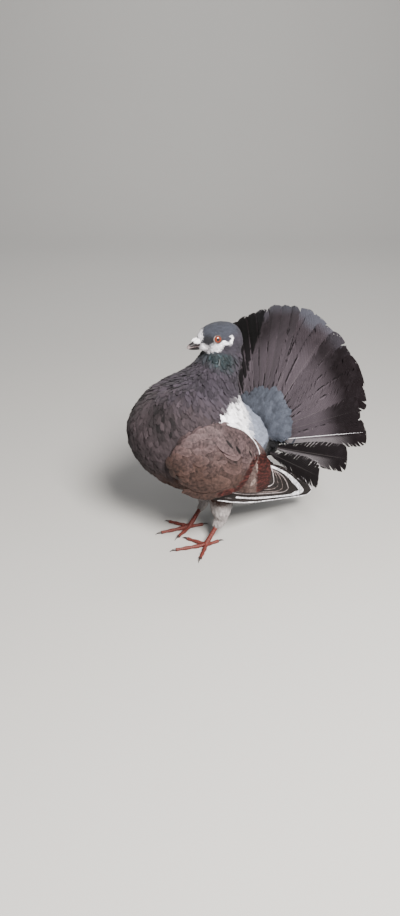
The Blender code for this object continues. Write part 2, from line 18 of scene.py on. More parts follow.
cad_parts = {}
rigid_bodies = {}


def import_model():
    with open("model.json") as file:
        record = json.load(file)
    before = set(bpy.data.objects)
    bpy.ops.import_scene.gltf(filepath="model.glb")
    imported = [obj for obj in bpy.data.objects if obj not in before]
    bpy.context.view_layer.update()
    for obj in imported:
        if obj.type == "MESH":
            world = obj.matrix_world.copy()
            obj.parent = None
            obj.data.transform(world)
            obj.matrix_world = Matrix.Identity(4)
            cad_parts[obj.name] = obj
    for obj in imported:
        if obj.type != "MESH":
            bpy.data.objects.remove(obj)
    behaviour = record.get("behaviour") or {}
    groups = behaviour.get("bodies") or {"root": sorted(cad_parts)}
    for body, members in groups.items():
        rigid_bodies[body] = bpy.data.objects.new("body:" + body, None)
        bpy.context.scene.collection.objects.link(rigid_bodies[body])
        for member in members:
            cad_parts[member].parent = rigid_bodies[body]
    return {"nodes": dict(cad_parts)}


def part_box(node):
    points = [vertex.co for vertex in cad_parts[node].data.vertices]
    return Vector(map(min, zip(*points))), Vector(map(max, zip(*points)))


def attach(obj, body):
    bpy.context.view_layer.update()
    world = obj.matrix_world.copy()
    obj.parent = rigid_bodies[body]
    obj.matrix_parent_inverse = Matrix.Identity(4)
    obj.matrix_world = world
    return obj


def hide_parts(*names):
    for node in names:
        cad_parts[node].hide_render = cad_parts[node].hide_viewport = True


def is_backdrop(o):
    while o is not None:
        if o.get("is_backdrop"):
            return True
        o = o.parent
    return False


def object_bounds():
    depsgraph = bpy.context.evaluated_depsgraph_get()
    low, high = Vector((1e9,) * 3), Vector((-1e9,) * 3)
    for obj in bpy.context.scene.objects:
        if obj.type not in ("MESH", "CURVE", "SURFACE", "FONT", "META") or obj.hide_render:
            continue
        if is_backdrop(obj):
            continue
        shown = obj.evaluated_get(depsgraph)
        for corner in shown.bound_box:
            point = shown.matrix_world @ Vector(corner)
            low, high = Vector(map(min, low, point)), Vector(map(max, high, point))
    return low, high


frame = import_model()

bl_info = {
    "name": "Fantail pigeon",
    "version": (1, 0, 0),
    "blender": (4, 5, 0),
    "location": "3D View > Sidebar > Pigeon",
    "description": "Skin, coat, fan, wings, head, feet and stage of a life-size fantail pigeon",
    "category": "Add Mesh",
}

MM = 0.001
BODY = "root"
FLESH = ("head", "neck", "torso", "thigh_left", "thigh_right")
SIDES = {"left": 1, "right": -1}

# What a feather's finish reads besides its place along and across: distance from the outline,
# where a dark band starts, width and whiteness of a pale edge, dark flight vane, and shaft
MARKS = {"edge": 9.0, "band": 2.0, "rim": 0.0, "white": 0.0, "flight": 0.0, "quill": 0.0}

# Size of the bake's round unwrap as shares of the picture, and of one feather's patch on it
UNWRAP_SIZE = (0.48, 0.31)
PATCH = 0.0015

# Skin: width of the voxels that run the solids together, in metres, rounds of smoothing, and how
# much thinner the coat over it is on the head and towards the shanks
SKIN_VOXEL = 0.0014
SKIN_ROUNDS = 12
THIN_ON_HEAD = 0.6
THIN_ON_SHANK = 0.4
BILL_VOXEL = 0.00022
BILL_ROUNDS = 8

# Eyeball: centre on the left side, radius, and the way it looks
EYE_CENTRE = Vector((12.0, 18.6, 224.5))
EYE_RADIUS = 4.6
EYE_LOOKS = Vector((0.92, -0.36, 0.12)).normalized()

# Lids: radius of the opening, half width and half thickness, and distance out from the eye's middle
EYE_OPENING = 3.75
LID_HALVES = (0.62, 0.5)
LID_OUT = 2.7
EYE_CLEARANCE = 0.3

# Lines across the body that its coat flows over at right angles, rump to throat:
# back y, z; belly y, z
LIE = (
    (76, 130, 84, 84),
    (63, 144, 45, 56),
    (50, 156, -12, 61),
    (47, 162, -39, 77),
    (46, 167, -61, 99),
    (46, 172, -74, 126),
    (47, 177, -72, 152),
    (49, 182, -52, 174),
    (53, 195, -4, 192),
    (50, 219, 19, 215),
)
LIE_STEPS = 7
LIE_REACH = 5.0
BILL_BASE = np.array((0.0, 3.0, 218.0))

# Where the coat lies another way than on the trunk, each as the two ends of a soft step
HEAD_LIE = (203, 215)
HIND_HEAD_LIE = (30, 50)
FAN_LIE_BEHIND = (70, 84)
FAN_LIE_ABOVE = (60, 95)
THIGH_LIE = (60, 50)

# Small feathers: half thickness, and how far the edges of one of width 1 curve down
FEATHER_HALF = 0.05
FEATHER_CAMBER = 0.07

# Outer face of the folded wing: distance from the middle plane, and how it falls away
WING_OUT = 63
WING_MID_Y = 8
WING_MID_Z = 102
WING_SLOPE = 0.43
WING_FRONT_CURVE = 0.005
WING_HEIGHT_CURVE = 0.0038
WING_REAR_SLOPE = 0.24
WING_REAR_ROUND = 30

# Outline of the wing's flesh, wrist to hand: top y, z; bottom y, z; depth
WING_CORE = (
    (-54, 125, -54, 119, 3),
    (-48, 137, -49, 105, 8),
    (-36, 147, -38, 96, 11),
    (-18, 153, -18, 89, 12),
    (4, 150, 4, 83, 12),
    (24, 134, 24, 77, 11),
    (42, 113, 42, 71, 7),
    (52, 90, 54, 66, 3),
)
# Flesh below the wing's face at wrist and hand, more at its upper and lower edges, and loss of
# depth there
WING_SINKS = (2.6, 4.5)
WING_EDGE_SINK = 2.5
WING_EDGE_THINS = 0.7

# Fan: its hub, lean back, spread to each side, how its edges sweep forward, how short and narrow
# the outermost feathers are, how far a feather's edges curve back, and the flesh at its root
FAN_HUB = np.array((0.0, 85.0, 100.0))
FAN_LEAN = math.radians(20)
FAN_HALF_SPREAD = math.radians(87)
FAN_CUP = math.radians(20)
FAN_CUP_STARTS = math.radians(70)
FAN_EDGE_SPREAD = math.radians(14.5)
FAN_SHORTEST = 0.86
FAN_NARROWEST = 0.75
FAN_CAMBER = 1.1
FAN_ROOT_HALF = (34, 9, 28)
FAN_ROOT_OFFSET = (0, 2, 4)

# Legs: hock and the joint of the toes, and each toe's name, heading, length and joints
LEGS = {
    "left": ((24.5, 17, 27), (26, -2, 4)),
    "right": ((-17, 23, 27), (-15, 3, 4)),
}
TOES = {
    "left": (("inner", -64, 24, 2), ("middle", -17, 34, 3), ("outer", 42, 26, 3), ("hind", 178, 15, 1)),
    "right": (("inner", 25, 24, 2), ("middle", -12, 34, 3), ("outer", -58, 26, 3), ("hind", 167, 15, 1)),
}

# Shank: radii from the hock to the toes, rings and scales along it
SHANK_RADII = (2.7, 2.3, 2.8)
SHANK_STEPS = 61
SHANK_SCUTES = 12

# Toes: radius at the root, loss of it to the end, swelling at the joints, height of the middle
# line, its rise at the root, and length, rings and swelling of a scale
TOE_RADIUS = 2.3
TOE_TAPER = 0.6
TOE_PAD = 0.13
TOE_HEIGHT = 1.9
TOE_ROOT_RISE = 1.6
SCUTE_LENGTH = 2
SCUTE_STEPS = 6
SCUTE_SWELL = 0.09

# Claws: gap before them, length, radius at the root, share of it lost, width as a share of the
# height, arch, and height of the tip
CLAW_GAP = 0.3
CLAW_LENGTH = 7
CLAW_RADIUS = 1.25
CLAW_THINS = 0.85
CLAW_WIDTH = 0.85
CLAW_ARCH = 0.6
CLAW_TIP = 0.3
PALE_CLAW = (0.16, 0.11, 0.10)

# Camera: place, its level right-hand way, the way it looks down, and focal length in pixels of a
# picture of the given height
CAMERA_PLACE = (565.8, -360.9, 430.0)
CAMERA_RIGHT = (0.5446, 0.8387, 0.0)
CAMERA_PITCH = math.radians(26.5)
FOCAL_PIXELS = 713
PICTURE_HEIGHT = 916

# Stage, in metres: where the floor curves up, and the lights seen from the bird
SWEEP_HALF = 6.0
SWEEP_STARTS = 1.8
SWEEP_RADIUS = 1.2
KEY_FROM = (0.85, -0.2, 0.8)
KEY_SIZE = 0.35
FILL_FROM = (1.2, 0.5, 0.5)
FILL_SIZE = 1.2
BACK_PLACE = (1.0, 2.2)
BACK_AIM = (3.0, 0.8)
BACK_SIZE = 1.5
WARM = (1.0, 0.97, 0.93)
COOL = (0.94, 0.97, 1.0)
SKY = (0.93, 0.95, 1.0, 1.0)


def eye_middle():
    """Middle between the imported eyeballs, in metres."""
    low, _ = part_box("eye_right")
    _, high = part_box("eye_left")
    return (low + high) / 2


ORIGIN = np.array(eye_middle()) - np.array((0, EYE_CENTRE.y, EYE_CENTRE.z)) * MM


def to_frame(points):
    """Points in the bird's millimetres as metres in the solids' frame."""
    return np.asarray(points) * MM + ORIGIN


def to_bird(points):
    """Points in metres in the solids' frame as the bird's millimetres."""
    return (np.asarray(points) - ORIGIN) / MM


def scaled(tone, share):
    """A colour made lighter or darker by a share."""
    return tuple(part * share for part in tone)


def part_way(ends, share):
    """Value that lies a share of the way between two ends."""
    return ends[0] + (ends[1] - ends[0]) * share


def colour(name, description, value):
    """A colour that the user may change."""
    return FloatVectorProperty(
        name=name, description=description, default=value, subtype="COLOR", size=3, min=0, max=1
    )


class CoatSettings(bpy.types.PropertyGroup):
    """Small body feathers and the colours of the head and body."""

    depth: FloatProperty(
        name="Coat depth", description="Height of the coat over the skin, mm", default=2.6, min=0.5
    )
    length: FloatProperty(
        name="Feather length", description="Length of a breast feather, mm", default=13, min=5
    )
    spacing: FloatProperty(
        name="Feather spacing", description="Distance between breast feathers, mm", default=2.5, min=2
    )
    crown: colour("Crown", "Top of the head", (0.025, 0.027, 0.036))
    nape: colour("Nape", "Purple grey of the hind head", (0.024, 0.021, 0.028))
    blaze: colour("Blaze", "White of the face and rump", (0.80, 0.78, 0.82))
    lore: colour("Lore", "Dark patch before the eye", (0.010, 0.010, 0.012))
    sheen: colour("Neck sheen", "Green gloss of the upper neck", (0.009, 0.0135, 0.0155))
    neck: colour("Neck", "Purplish slate of the neck", (0.024, 0.0195, 0.026))
    breast: colour("Breast", "Dark slate of the breast", (0.026, 0.019, 0.0215))
    # Belly: the lower breast's own brownish tone, made warmer and darker by painted light bounced from the
    # floor and painted shade under the body
    belly: colour("Belly", "Brownish lower breast", (0.032, 0.0135, 0.0095))
    down: colour("Down", "Pale grey of the thighs", (0.235, 0.214, 0.21))


class WingSettings(bpy.types.PropertyGroup):
    """Folded wings."""

    shield: colour("Shield", "Ash brown of the small wing feathers", (0.050, 0.033, 0.034))
    # Lower shield: a warmer brown that is the wing's own, made darker towards the lower edge as painted
    # shade
    low: colour("Lower shield", "Warmer brown towards the wing's lower edge", (0.030, 0.0165, 0.0135))
    bar: colour("Bars", "Dark red brown of the two wing bars", (0.016, 0.0036, 0.0030))
    pale: colour("Pale band", "Between the bars", (0.13, 0.095, 0.085))
    flight: colour("Flight feathers", "Vanes of the wing tip", (0.0095, 0.0065, 0.0062))
    edge: colour("Brown edges", "Edges of the inner flight feathers", (0.10, 0.06, 0.05))
    secondaries: IntProperty(
        name="Secondaries", description="Feathers in the arm's flight row", default=11, min=6
    )
    coverts: IntProperty(name="Coverts", description="Feathers in each row over them", default=12, min=6)


class FanSettings(bpy.types.PropertyGroup):
    """Upright fan of the tail."""

    feathers: IntProperty(name="Tail feathers", description="Feathers in the fan", default=24, min=12)
    radius: FloatProperty(name="Radius", description="Root to tip of the fan, mm", default=145, min=60)
    vane: colour("Vane", "Slate grey of the tail feathers", (0.062, 0.050, 0.059))
    band: colour("Band", "Dark band before the tips", (0.006, 0.0038, 0.0047))
    cover: colour("Coverts", "Blue grey at the foot of the fan", (0.060, 0.067, 0.086))
    shaft: colour("Shafts", "Feather shafts", (0.10, 0.09, 0.09))


class BareSettings(bpy.types.PropertyGroup):
    """Eyes, bill and feet."""

    iris: colour("Iris", "Orange red of the eye", (0.105, 0.018, 0.007))
    lid: colour("Lids", "Bare skin round the eye", (0.11, 0.1, 0.1))
    horn: colour("Bill", "Dark horn of the bill", (0.008, 0.006, 0.007))
    cere: colour("Cere", "Powdery skin over the bill", (0.70, 0.67, 0.69))
    foot: colour("Feet", "Pink scaled skin", (0.10, 0.022, 0.017))
    claw: colour("Claws", "Dark horn of the claws", (0.020, 0.014, 0.013))


class StageSettings(bpy.types.PropertyGroup):
    """Floor and lights."""

    floor: colour("Floor", "Plain pale floor", (0.36, 0.35, 0.335))
    key: FloatProperty(name="Key light", description="Main light", default=64, unit="POWER")
    fill: FloatProperty(name="Fill light", description="Soft light", default=6, unit="POWER")
    back: FloatProperty(name="Backdrop light", description="Light behind the bird", default=60, unit="POWER")
    sky: FloatProperty(name="Surround", description="Strength of the pale surround", default=0.3, min=0)


class Value:
    """A number in a material, whose operators add Math nodes."""

    def __init__(self, paint, socket):
        self.paint = paint
        self.socket = socket

    def maths(self, operation, *terms):
        terms = [term.socket if isinstance(term, Value) else term for term in terms]
        node = self.paint.node("ShaderNodeMath", {"operation": operation}, dict(enumerate(terms)))
        return Value(self.paint, node.outputs[0])

    def __add__(self, other):
        return self.maths("ADD", self, other)

    def __radd__(self, other):
        return self.maths("ADD", other, self)

    def __sub__(self, other):
        return self.maths("SUBTRACT", self, other)

    def __rsub__(self, other):
        return self.maths("SUBTRACT", other, self)

    def __mul__(self, other):
        return self.maths("MULTIPLY", self, other)

    def __rmul__(self, other):
        return self.maths("MULTIPLY", other, self)

    def __truediv__(self, other):
        return self.maths("DIVIDE", self, other)

    def size(self):
        return self.maths("ABSOLUTE", self)

    def wave(self):
        """Sine of a number of turns."""
        return self.maths("SINE", self * math.tau)

    def root(self):
        return self.maths("SQRT", self)

    def most(self, other):
        """The larger of two numbers."""
        return self.maths("MAXIMUM", self, other)

    def rises(self, low, high):
        """Zero at low, one at high, with a smooth step between them."""
        node = self.paint.node(
            "ShaderNodeMapRange",
            {"interpolation_type": "SMOOTHSTEP"},
            {"Value": self.socket, "From Min": low, "From Max": high},
        )
        return Value(self.paint, node.outputs[0])

    def falls(self, low, high):
        """One at low, zero at high, with a smooth step between them."""
        return 1.0 - self.rises(low, high)


class Paint:
    """A material and the nodes that feed its surface."""

    def __init__(self, name, roughness, **constants):
        self.material = bpy.data.materials.new(name)
        self.material.use_nodes = True
        self.tree = self.material.node_tree
        self.surface = self.tree.nodes["Principled BSDF"]
        self.surface.inputs["Roughness"].default_value = roughness
        for socket, value in constants.items():
            self.surface.inputs[socket.replace("_", " ")].default_value = value

    def node(self, kind, settings, inputs):
        """New node: its settings first, then the values or links of its sockets."""
        node = self.tree.nodes.new(kind)
        for key, value in settings.items():
            setattr(node, key, value)
        for key, value in inputs.items():
            if isinstance(value, Value):
                value = value.socket
            if isinstance(value, bpy.types.NodeSocket):
                self.tree.links.new(value, node.inputs[key])
            else:
                node.inputs[key].default_value = value
        return node

    def number(self, attribute):
        """Number that the mesh carries under that name."""
        node = self.node("ShaderNodeAttribute", {"attribute_name": attribute}, {})
        return Value(self, node.outputs["Fac"])

    def vector(self, attribute):
        """Vector that the mesh carries under that name."""
        return self.node("ShaderNodeAttribute", {"attribute_name": attribute}, {}).outputs["Vector"]

    def split(self, vector):
        """The three numbers of a vector."""
        node = self.node("ShaderNodeSeparateXYZ", {}, {0: vector})
        return [Value(self, output) for output in node.outputs]

    def objects(self):
        """Place on the piece, in metres."""
        return self.node("ShaderNodeTexCoord", {}, {}).outputs["Object"]

    def stretched(self, vector, scale):
        """The same vector with each axis at its own scale."""
        return self.node("ShaderNodeMapping", {}, {"Vector": vector, "Scale": scale}).outputs[0]

    def noise(self, vector, scale, detail=2.0):
        """Cloudy number between 0 and 1."""
        node = self.node("ShaderNodeTexNoise", {}, {"Vector": vector, "Scale": scale, "Detail": detail})
        return Value(self, node.outputs["Fac"])

    def mix(self, first, second, mask):
        """Colour that goes from first to second with the mask."""
        if isinstance(first, tuple):
            first = (*first, 1.0)
        if isinstance(second, tuple):
            second = (*second, 1.0)
        node = self.node(
            "ShaderNodeMix", {"data_type": "RGBA"}, {"Factor": mask, 6: first, 7: second}
        )
        return node.outputs[2]

    def shade(self, base, amount):
        """Colour made lighter or darker by a number round one."""
        node = self.node(
            "ShaderNodeVectorMath", {"operation": "SCALE"}, {0: base, "Scale": amount}
        )
        return node.outputs[0]

    def finish(self, base, bump=None, strength=0.3, distance=0.0002):
        """Feed the surface its colour and its fine relief."""
        self.tree.links.new(base, self.surface.inputs["Base Color"])
        if bump is not None:
            node = self.node(
                "ShaderNodeBump", {}, {"Strength": strength, "Distance": distance, "Height": bump}
            )
            self.tree.links.new(node.outputs[0], self.surface.inputs["Normal"])
        return self.material

    def vary(self, socket, value):
        """Feed another socket of the surface."""
        self.tree.links.new(value.socket, self.surface.inputs[socket])


def blend_rows(rows, places):
    """Rows at fractional places in a table, along a Catmull-Rom curve."""
    rows = np.asarray(rows, float)
    last = len(rows) - 1
    first = np.minimum(places.astype(int), last - 1)
    t = (places - first)[:, None]
    a, b, c, d = (rows[np.clip(first + step, 0, last)] for step in (-1, 0, 1, 2))
    return b + 0.5 * t * (c - a + t * (2 * a - 5 * b + 4 * c - d + t * (3 * (b - c) + d - a)))


def unit(vectors):
    """Vectors at length one."""
    return vectors / np.maximum(np.linalg.norm(vectors, axis=-1, keepdims=True), 1e-9)


def step_up(low, high, value):
    """Smooth step from zero at low to one at high."""
    t = np.clip((value - low) / (high - low), 0, 1)
    return t * t * (3 - 2 * t)


def add_object(name, data, material, replaces=()):
    """Piece with its finish, riding on the body and standing for CAD nodes."""
    thing = bpy.data.objects.new(name, data)
    bpy.context.scene.collection.objects.link(thing)
    data.materials.append(material)
    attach(thing, BODY)
    if replaces:
        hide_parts(*replaces)
    return thing


def sort_faces(mesh):
    """Order faces by their three lowest corners, so that every run gives the same mesh."""
    mesh.verts.index_update()

    def rank(face):
        first, second, third = sorted(vert.index for vert in face.verts)[:3]
        return (first * 1e5 + second) * 1e5 + third

    mesh.faces.sort(key=rank)


def start_low(data):
    """Start each face at its lowest corner, for the same reason."""
    order = []
    for face in data.polygons:
        corners, loops = list(face.vertices), list(face.loop_indices)
        low = corners.index(min(corners))
        order += loops[low:] + loops[:low]
    for key in ("vertex_index", "edge_index"):
        values = np.zeros(len(order), np.int32)
        data.loops.foreach_get(key, values)
        data.loops.foreach_set(key, values[order])
    data.update()


def from_bmesh(name, mesh, material, replaces=()):
    """Piece from a bmesh in the bird's millimetres."""
    bmesh.ops.recalc_face_normals(mesh, faces=mesh.faces[:])
    place = Matrix.Translation(ORIGIN) @ Matrix.Scale(MM, 4)
    bmesh.ops.transform(mesh, matrix=place, verts=mesh.verts[:])
    sort_faces(mesh)
    data = bpy.data.meshes.new(name)
    mesh.to_mesh(data)
    mesh.free()
    start_low(data)
    data.shade_smooth()
    return add_object(name, data, material, replaces)


def ring_matrix(centre, side, up):
    """Matrix that lays the unit circle on an ellipse with the given half axes."""
    matrix = Matrix((side, up, side.cross(up).normalized())).transposed().to_4x4()
    matrix.translation = centre
    return matrix


def add_tube(mesh, rings, segments):
    """Closed tube over elliptical rings, each a centre and two half axes."""
    before = ring_matrix(*rings[0])
    made = bmesh.ops.create_circle(mesh, cap_ends=True, segments=segments, radius=1.0, matrix=before)
    edges = list({edge for vert in made["verts"] for edge in vert.link_edges})
    everything = list(made["verts"])
    for ring in rings[1:]:
        grown = bmesh.ops.extrude_edge_only(mesh, edges=edges)["geom"]
        edges = [item for item in grown if isinstance(item, bmesh.types.BMEdge) and item.is_boundary]
        verts = [item for item in grown if isinstance(item, bmesh.types.BMVert)]
        after = ring_matrix(*ring)
        bmesh.ops.transform(mesh, matrix=after @ before.inverted(), verts=verts)
        before = after
        everything += verts
    bmesh.ops.contextual_create(mesh, geom=edges)
    return everything


def node_copy(nodes):
    """CAD nodes' meshes in one bmesh, with their loose triangles joined up."""
    mesh = bmesh.new()
    for node in nodes:
        mesh.from_mesh(frame["nodes"][node].data)
    bmesh.ops.remove_doubles(mesh, verts=mesh.verts[:], dist=1e-6)
    return mesh


def melted(mesh, voxel, rounds):
    """Mesh of a bmesh whose solids are run together and smoothed."""
    data = bpy.data.meshes.new("rough")
    mesh.to_mesh(data)
    mesh.free()
    thing = bpy.data.objects.new("rough", data)
    bpy.context.scene.collection.objects.link(thing)
    remesh = thing.modifiers.new("remesh", "REMESH")
    remesh.mode = "VOXEL"
    remesh.voxel_size = voxel
    smooth = thing.modifiers.new("smooth", "SMOOTH")
    smooth.factor = 0.5
    smooth.iterations = rounds
    graph = bpy.context.evaluated_depsgraph_get()
    result = bpy.data.meshes.new_from_object(thing.evaluated_get(graph))
    bpy.data.objects.remove(thing)
    result.shade_smooth()
    return result


def read_corners(data, key="co"):
    """Places or normals of a mesh's corners."""
    values = np.zeros(len(data.vertices) * 3)
    data.vertices.foreach_get(key, values)
    return values.reshape(-1, 3)


def mark(data, key, values):
    """Give a mesh a number at each corner, under the name that its finish reads."""
    data.attributes.new(key, "FLOAT", "POINT").data.foreach_set("value", values)


def mark_spot(data, spots):
    """Give a mesh a place at each corner, in the bird's millimetres."""
    data.attributes.new("spot", "FLOAT_VECTOR", "POINT").data.foreach_set("vector", spots.reshape(-1))


def mark_own_spot(data):
    """Give a mesh its corners' own places."""
    mark_spot(data, to_bird(read_corners(data)))


def mark_skin(data):
    """Give the skin the numbers that the feathers' finish reads."""
    mark_own_spot(data)
    for key, value in {**MARKS, "tint": 0.4, "along": 0.3, "across": 0.3}.items():
        mark(data, key, np.full(len(data.vertices), float(value)))


def fan_directions(angle):
    """Unit vectors along, across and in front of the fan at an angle from its middle."""
    flat = np.array((
        math.sin(angle),
        math.cos(angle) * math.sin(FAN_LEAN),
        math.cos(angle) * math.cos(FAN_LEAN),
    ))
    front = np.array((0, -math.cos(FAN_LEAN), math.sin(FAN_LEAN)))
    past = (abs(angle) - FAN_CUP_STARTS) / (FAN_HALF_SPREAD - FAN_CUP_STARTS)
    cup = FAN_CUP * max(0.0, past)
    along = flat * math.cos(cup) + front * math.sin(cup)
    front = front * math.cos(cup) - flat * math.sin(cup)
    return along, np.cross(front, along), front


def wing_x(y, z):
    """Distance of the folded wing's outer face from the middle plane."""
    along = y - WING_MID_Y
    above = z - WING_MID_Z + WING_SLOPE * along
    front = WING_FRONT_CURVE * along * along
    rear = WING_REAR_SLOPE * (np.hypot(along, WING_REAR_ROUND) - WING_REAR_ROUND)
    return WING_OUT - np.where(along < 0, front, rear) - WING_HEIGHT_CURVE * above * above


# Places tried for each root that would fit on the skin
TRIES = 5


class Hide:
    """A skin that feathers grow on: its triangles in the bird's millimetres, and its tree."""

    def __init__(self, data):
        data.calc_loop_triangles()
        self.points = to_bird(read_corners(data))
        corners = np.zeros(len(data.loop_triangles) * 3, int)
        data.loop_triangles.foreach_get("vertices", corners)
        self.corners = corners.reshape(-1, 3)
        self.tree = BVHTree.FromPolygons(self.points.tolist(), self.corners.tolist())

    def nearest(self, points):
        """Points of the skin nearest to the given ones, and its normals there."""
        found = [self.tree.find_nearest(point) for point in points]
        places = np.array([hit[0] for hit in found])
        return places, np.array([hit[1] for hit in found])

    def scatter(self, wanted, gap, seed):
        """Roots spread over the wanted part, with the given gap between them."""
        rng = np.random.default_rng(seed)
        a, b, c = (self.points[self.corners[:, k]] for k in range(3))
        keep = wanted((a + b + c) / 3)
        a, b, c = a[keep], b[keep], c[keep]
        areas = np.linalg.norm(np.cross(b - a, c - a), axis=1) / 2
        gaps = gap((a + b + c) / 3)
        odds = areas / gaps**2
        count = int(odds.sum() * TRIES)
        pick = rng.choice(len(areas), count, p=odds / odds.sum())
        u, v = rng.random((2, count, 1))
        u, v = np.where(u + v > 1, 1 - u, u), np.where(u + v > 1, 1 - v, v)
        points = a[pick] + u * (b[pick] - a[pick]) + v * (c[pick] - a[pick])
        return points[spaced(points, gaps[pick])]


def spaced(points, gaps):
    """Indices of points that keep their gap from those taken before them."""
    cell = gaps.max()
    cells = {}
    taken = []
    keys = np.floor(points / cell).astype(int)
    around = [(i, j, k) for i in (-1, 0, 1) for j in (-1, 0, 1) for k in (-1, 0, 1)]
    for index, (key, point, gap) in enumerate(zip(keys.tolist(), points.tolist(), gaps.tolist())):
        limit = gap * gap
        x, y, z = point
        clear = True
        for i, j, k in around:
            for px, py, pz in cells.get((key[0] + i, key[1] + j, key[2] + k), ()):
                if (px - x) ** 2 + (py - y) ** 2 + (pz - z) ** 2 < limit:
                    clear = False
                    break
            if not clear:
                break
        if clear:
            cells.setdefault(tuple(key), []).append(point)
            taken.append(index)
    return taken


def lie_rows():
    """Finely spaced lines across the body: their ends and the way the coat flows over each."""
    places = np.linspace(0, len(LIE) - 1, (len(LIE) - 1) * LIE_STEPS + 1)
    rows = blend_rows(LIE, places)
    back, belly = rows[:, :2], rows[:, 2:]
    across = belly - back
    flow = unit(np.stack((-across[:, 1], across[:, 0]), axis=1))
    return back, across, flow


LIE_BACK, LIE_ACROSS, LIE_FLOW = lie_rows()


def body_flow(points):
    """Way the coat lies on the trunk."""
    flat = points[:, None, 1:] - LIE_BACK
    share = np.clip((flat * LIE_ACROSS).sum(2) / (LIE_ACROSS**2).sum(1), 0, 1)
    distance = np.linalg.norm(flat - share[..., None] * LIE_ACROSS, axis=2)
    weight = np.exp(-((distance - distance.min(1)[:, None]) / LIE_REACH) ** 2)
    flow = unit((weight[..., None] * LIE_FLOW).sum(1))
    return np.concatenate((np.zeros((len(points), 1)), flow), axis=1)


def lerp(first, second, share):
    """Blend of two sets of vectors."""
    return first + (second - first) * share[:, None]


def along_skin(flow, normals):
    """Directions turned to lie along the skin."""
    return unit(flow - (flow * normals).sum(1)[:, None] * normals)


def coat_flow(points, normals):
    """Way the coat lies at points of the skin, along the skin."""
    x, y, z = points.T
    flow = body_flow(points)
    head = unit(points - BILL_BASE) + np.array((0, 0, -0.45))
    head[:, 2] -= 0.6 * step_up(*HIND_HEAD_LIE, y)
    flow = lerp(flow, unit(head), step_up(*HEAD_LIE, z))
    fan = points - FAN_HUB
    flow = lerp(flow, unit(fan), step_up(*FAN_LIE_BEHIND, y) * step_up(*FAN_LIE_ABOVE, z))
    thigh = np.stack((0 * x, 0.1 + 0 * y, -1 + 0 * z), axis=1)
    return along_skin(lerp(flow, thigh, step_up(*THIGH_LIE, z)), normals)


def lens(columns, rows):
    """Template of a closed vane: places along and across it, its two faces, and its quads."""
    mesh = bmesh.new()
    bmesh.ops.create_grid(mesh, x_segments=columns, y_segments=rows, size=1.0)
    rim = {vert for vert in mesh.verts if vert.is_boundary}
    copy = bmesh.ops.duplicate(mesh, geom=mesh.verts[:] + mesh.edges[:] + mesh.faces[:])
    rim |= {copy["vert_map"][vert] for vert in rim if vert in copy["vert_map"]}
    under = {item for item in copy["geom"] if isinstance(item, bmesh.types.BMVert)}
    turned = [item for item in copy["geom"] if isinstance(item, bmesh.types.BMFace)]
    bmesh.ops.reverse_faces(mesh, faces=turned)
    for vert in mesh.verts:
        if vert not in rim:
            vert.co.z = -1.0 if vert in under else 1.0
    bmesh.ops.remove_doubles(mesh, verts=mesh.verts[:], dist=0.001)
    mesh.verts.index_update()
    along = np.array([(vert.co.y + 1) / 2 for vert in mesh.verts])
    across = np.array([vert.co.x for vert in mesh.verts])
    face = np.array([vert.co.z for vert in mesh.verts])
    quads = np.array([[vert.index for vert in item.verts] for item in mesh.faces])
    mesh.free()
    return along, across, face, quads


# Small vane: shares of its width from root to tip, and the template's corners. The fine template
# is a smooth flight feather's.
VANE_WIDTHS = np.array((0.3, 0.85, 1.0, 0.9, 0.45))
VANE_STEPS = len(VANE_WIDTHS) - 1
VANE_ALONG, VANE_ACROSS, VANE_FACE, VANE_QUADS = lens(4, VANE_STEPS)
VANE_ROWS = np.rint(VANE_ALONG * VANE_STEPS).astype(int)
VANE_COLUMNS = np.rint(VANE_ACROSS * 2 + 2).astype(int)
BLADE_ALONG, BLADE_ACROSS, BLADE_FACE, BLADE_QUADS = lens(10, 28)


def unwrap(points):
    """Places on a round unwrap of the body's own shape, for the bake."""
    x, y, z = unit(points - points.mean(axis=0)).T
    around = 0.5 + UNWRAP_SIZE[0] * np.arctan2(x, -y) / math.pi
    return np.stack((around, 0.5 + UNWRAP_SIZE[1] * np.arcsin(z)), axis=1)


class Plumes:
    """Feathers gathered into one mesh, with the numbers that their finish reads."""

    def __init__(self):
        self.parts = []
        self.size = 0

    def add(self, points, quads, along, across, spot, tint, **marks):
        """Feathers of one template: points (feather, corner, xyz), and values for each feather."""
        count, corners = points.shape[:2]
        starts = self.size + corners * np.arange(count)[:, None, None]
        self.size += count * corners
        values = {"along": along, "across": across, "tint": np.asarray(tint).reshape(-1, 1)}
        for key, plain in MARKS.items():
            values[key] = marks.get(key, plain)
        flat = {key: np.broadcast_to(value, (count, corners)).reshape(-1) for key, value in values.items()}
        spots = np.repeat(spot, corners, axis=0)
        self.parts.append((points.reshape(-1, 3), (quads[None] + starts).reshape(-1, 4), flat, spots))

    def build(self, name, material, slot, replaces=()):
        """The joined mesh as a piece."""
        points = np.concatenate([part[0] for part in self.parts])
        quads = np.concatenate([part[1] for part in self.parts])
        spots = np.concatenate([part[3] for part in self.parts])
        data = bpy.data.meshes.new(name)
        data.vertices.add(len(points))
        data.vertices.foreach_set("co", to_frame(points).reshape(-1))
        data.loops.add(quads.size)
        data.loops.foreach_set("vertex_index", quads.reshape(-1))
        data.polygons.add(len(quads))
        data.polygons.foreach_set("loop_start", np.arange(0, quads.size, 4))
        data.polygons.foreach_set("use_smooth", np.ones(len(quads), bool))
        data.update(calc_edges=True)
        data.set_sharp_from_angle(angle=math.radians(50))
        marks = {key: np.concatenate([part[2][key] for part in self.parts]) for key in self.parts[0][2]}
        for key, values in marks.items():
            mark(data, key, values)
        mark_spot(data, spots)
        patch = unwrap(spots) + PATCH * np.stack((marks["across"], marks["along"] - 0.5), axis=1)
        data.uv_layers.new(name="OFBake").data.foreach_set("uv", patch[quads.reshape(-1)].reshape(-1))
        return add_object(name, data, material, replaces)


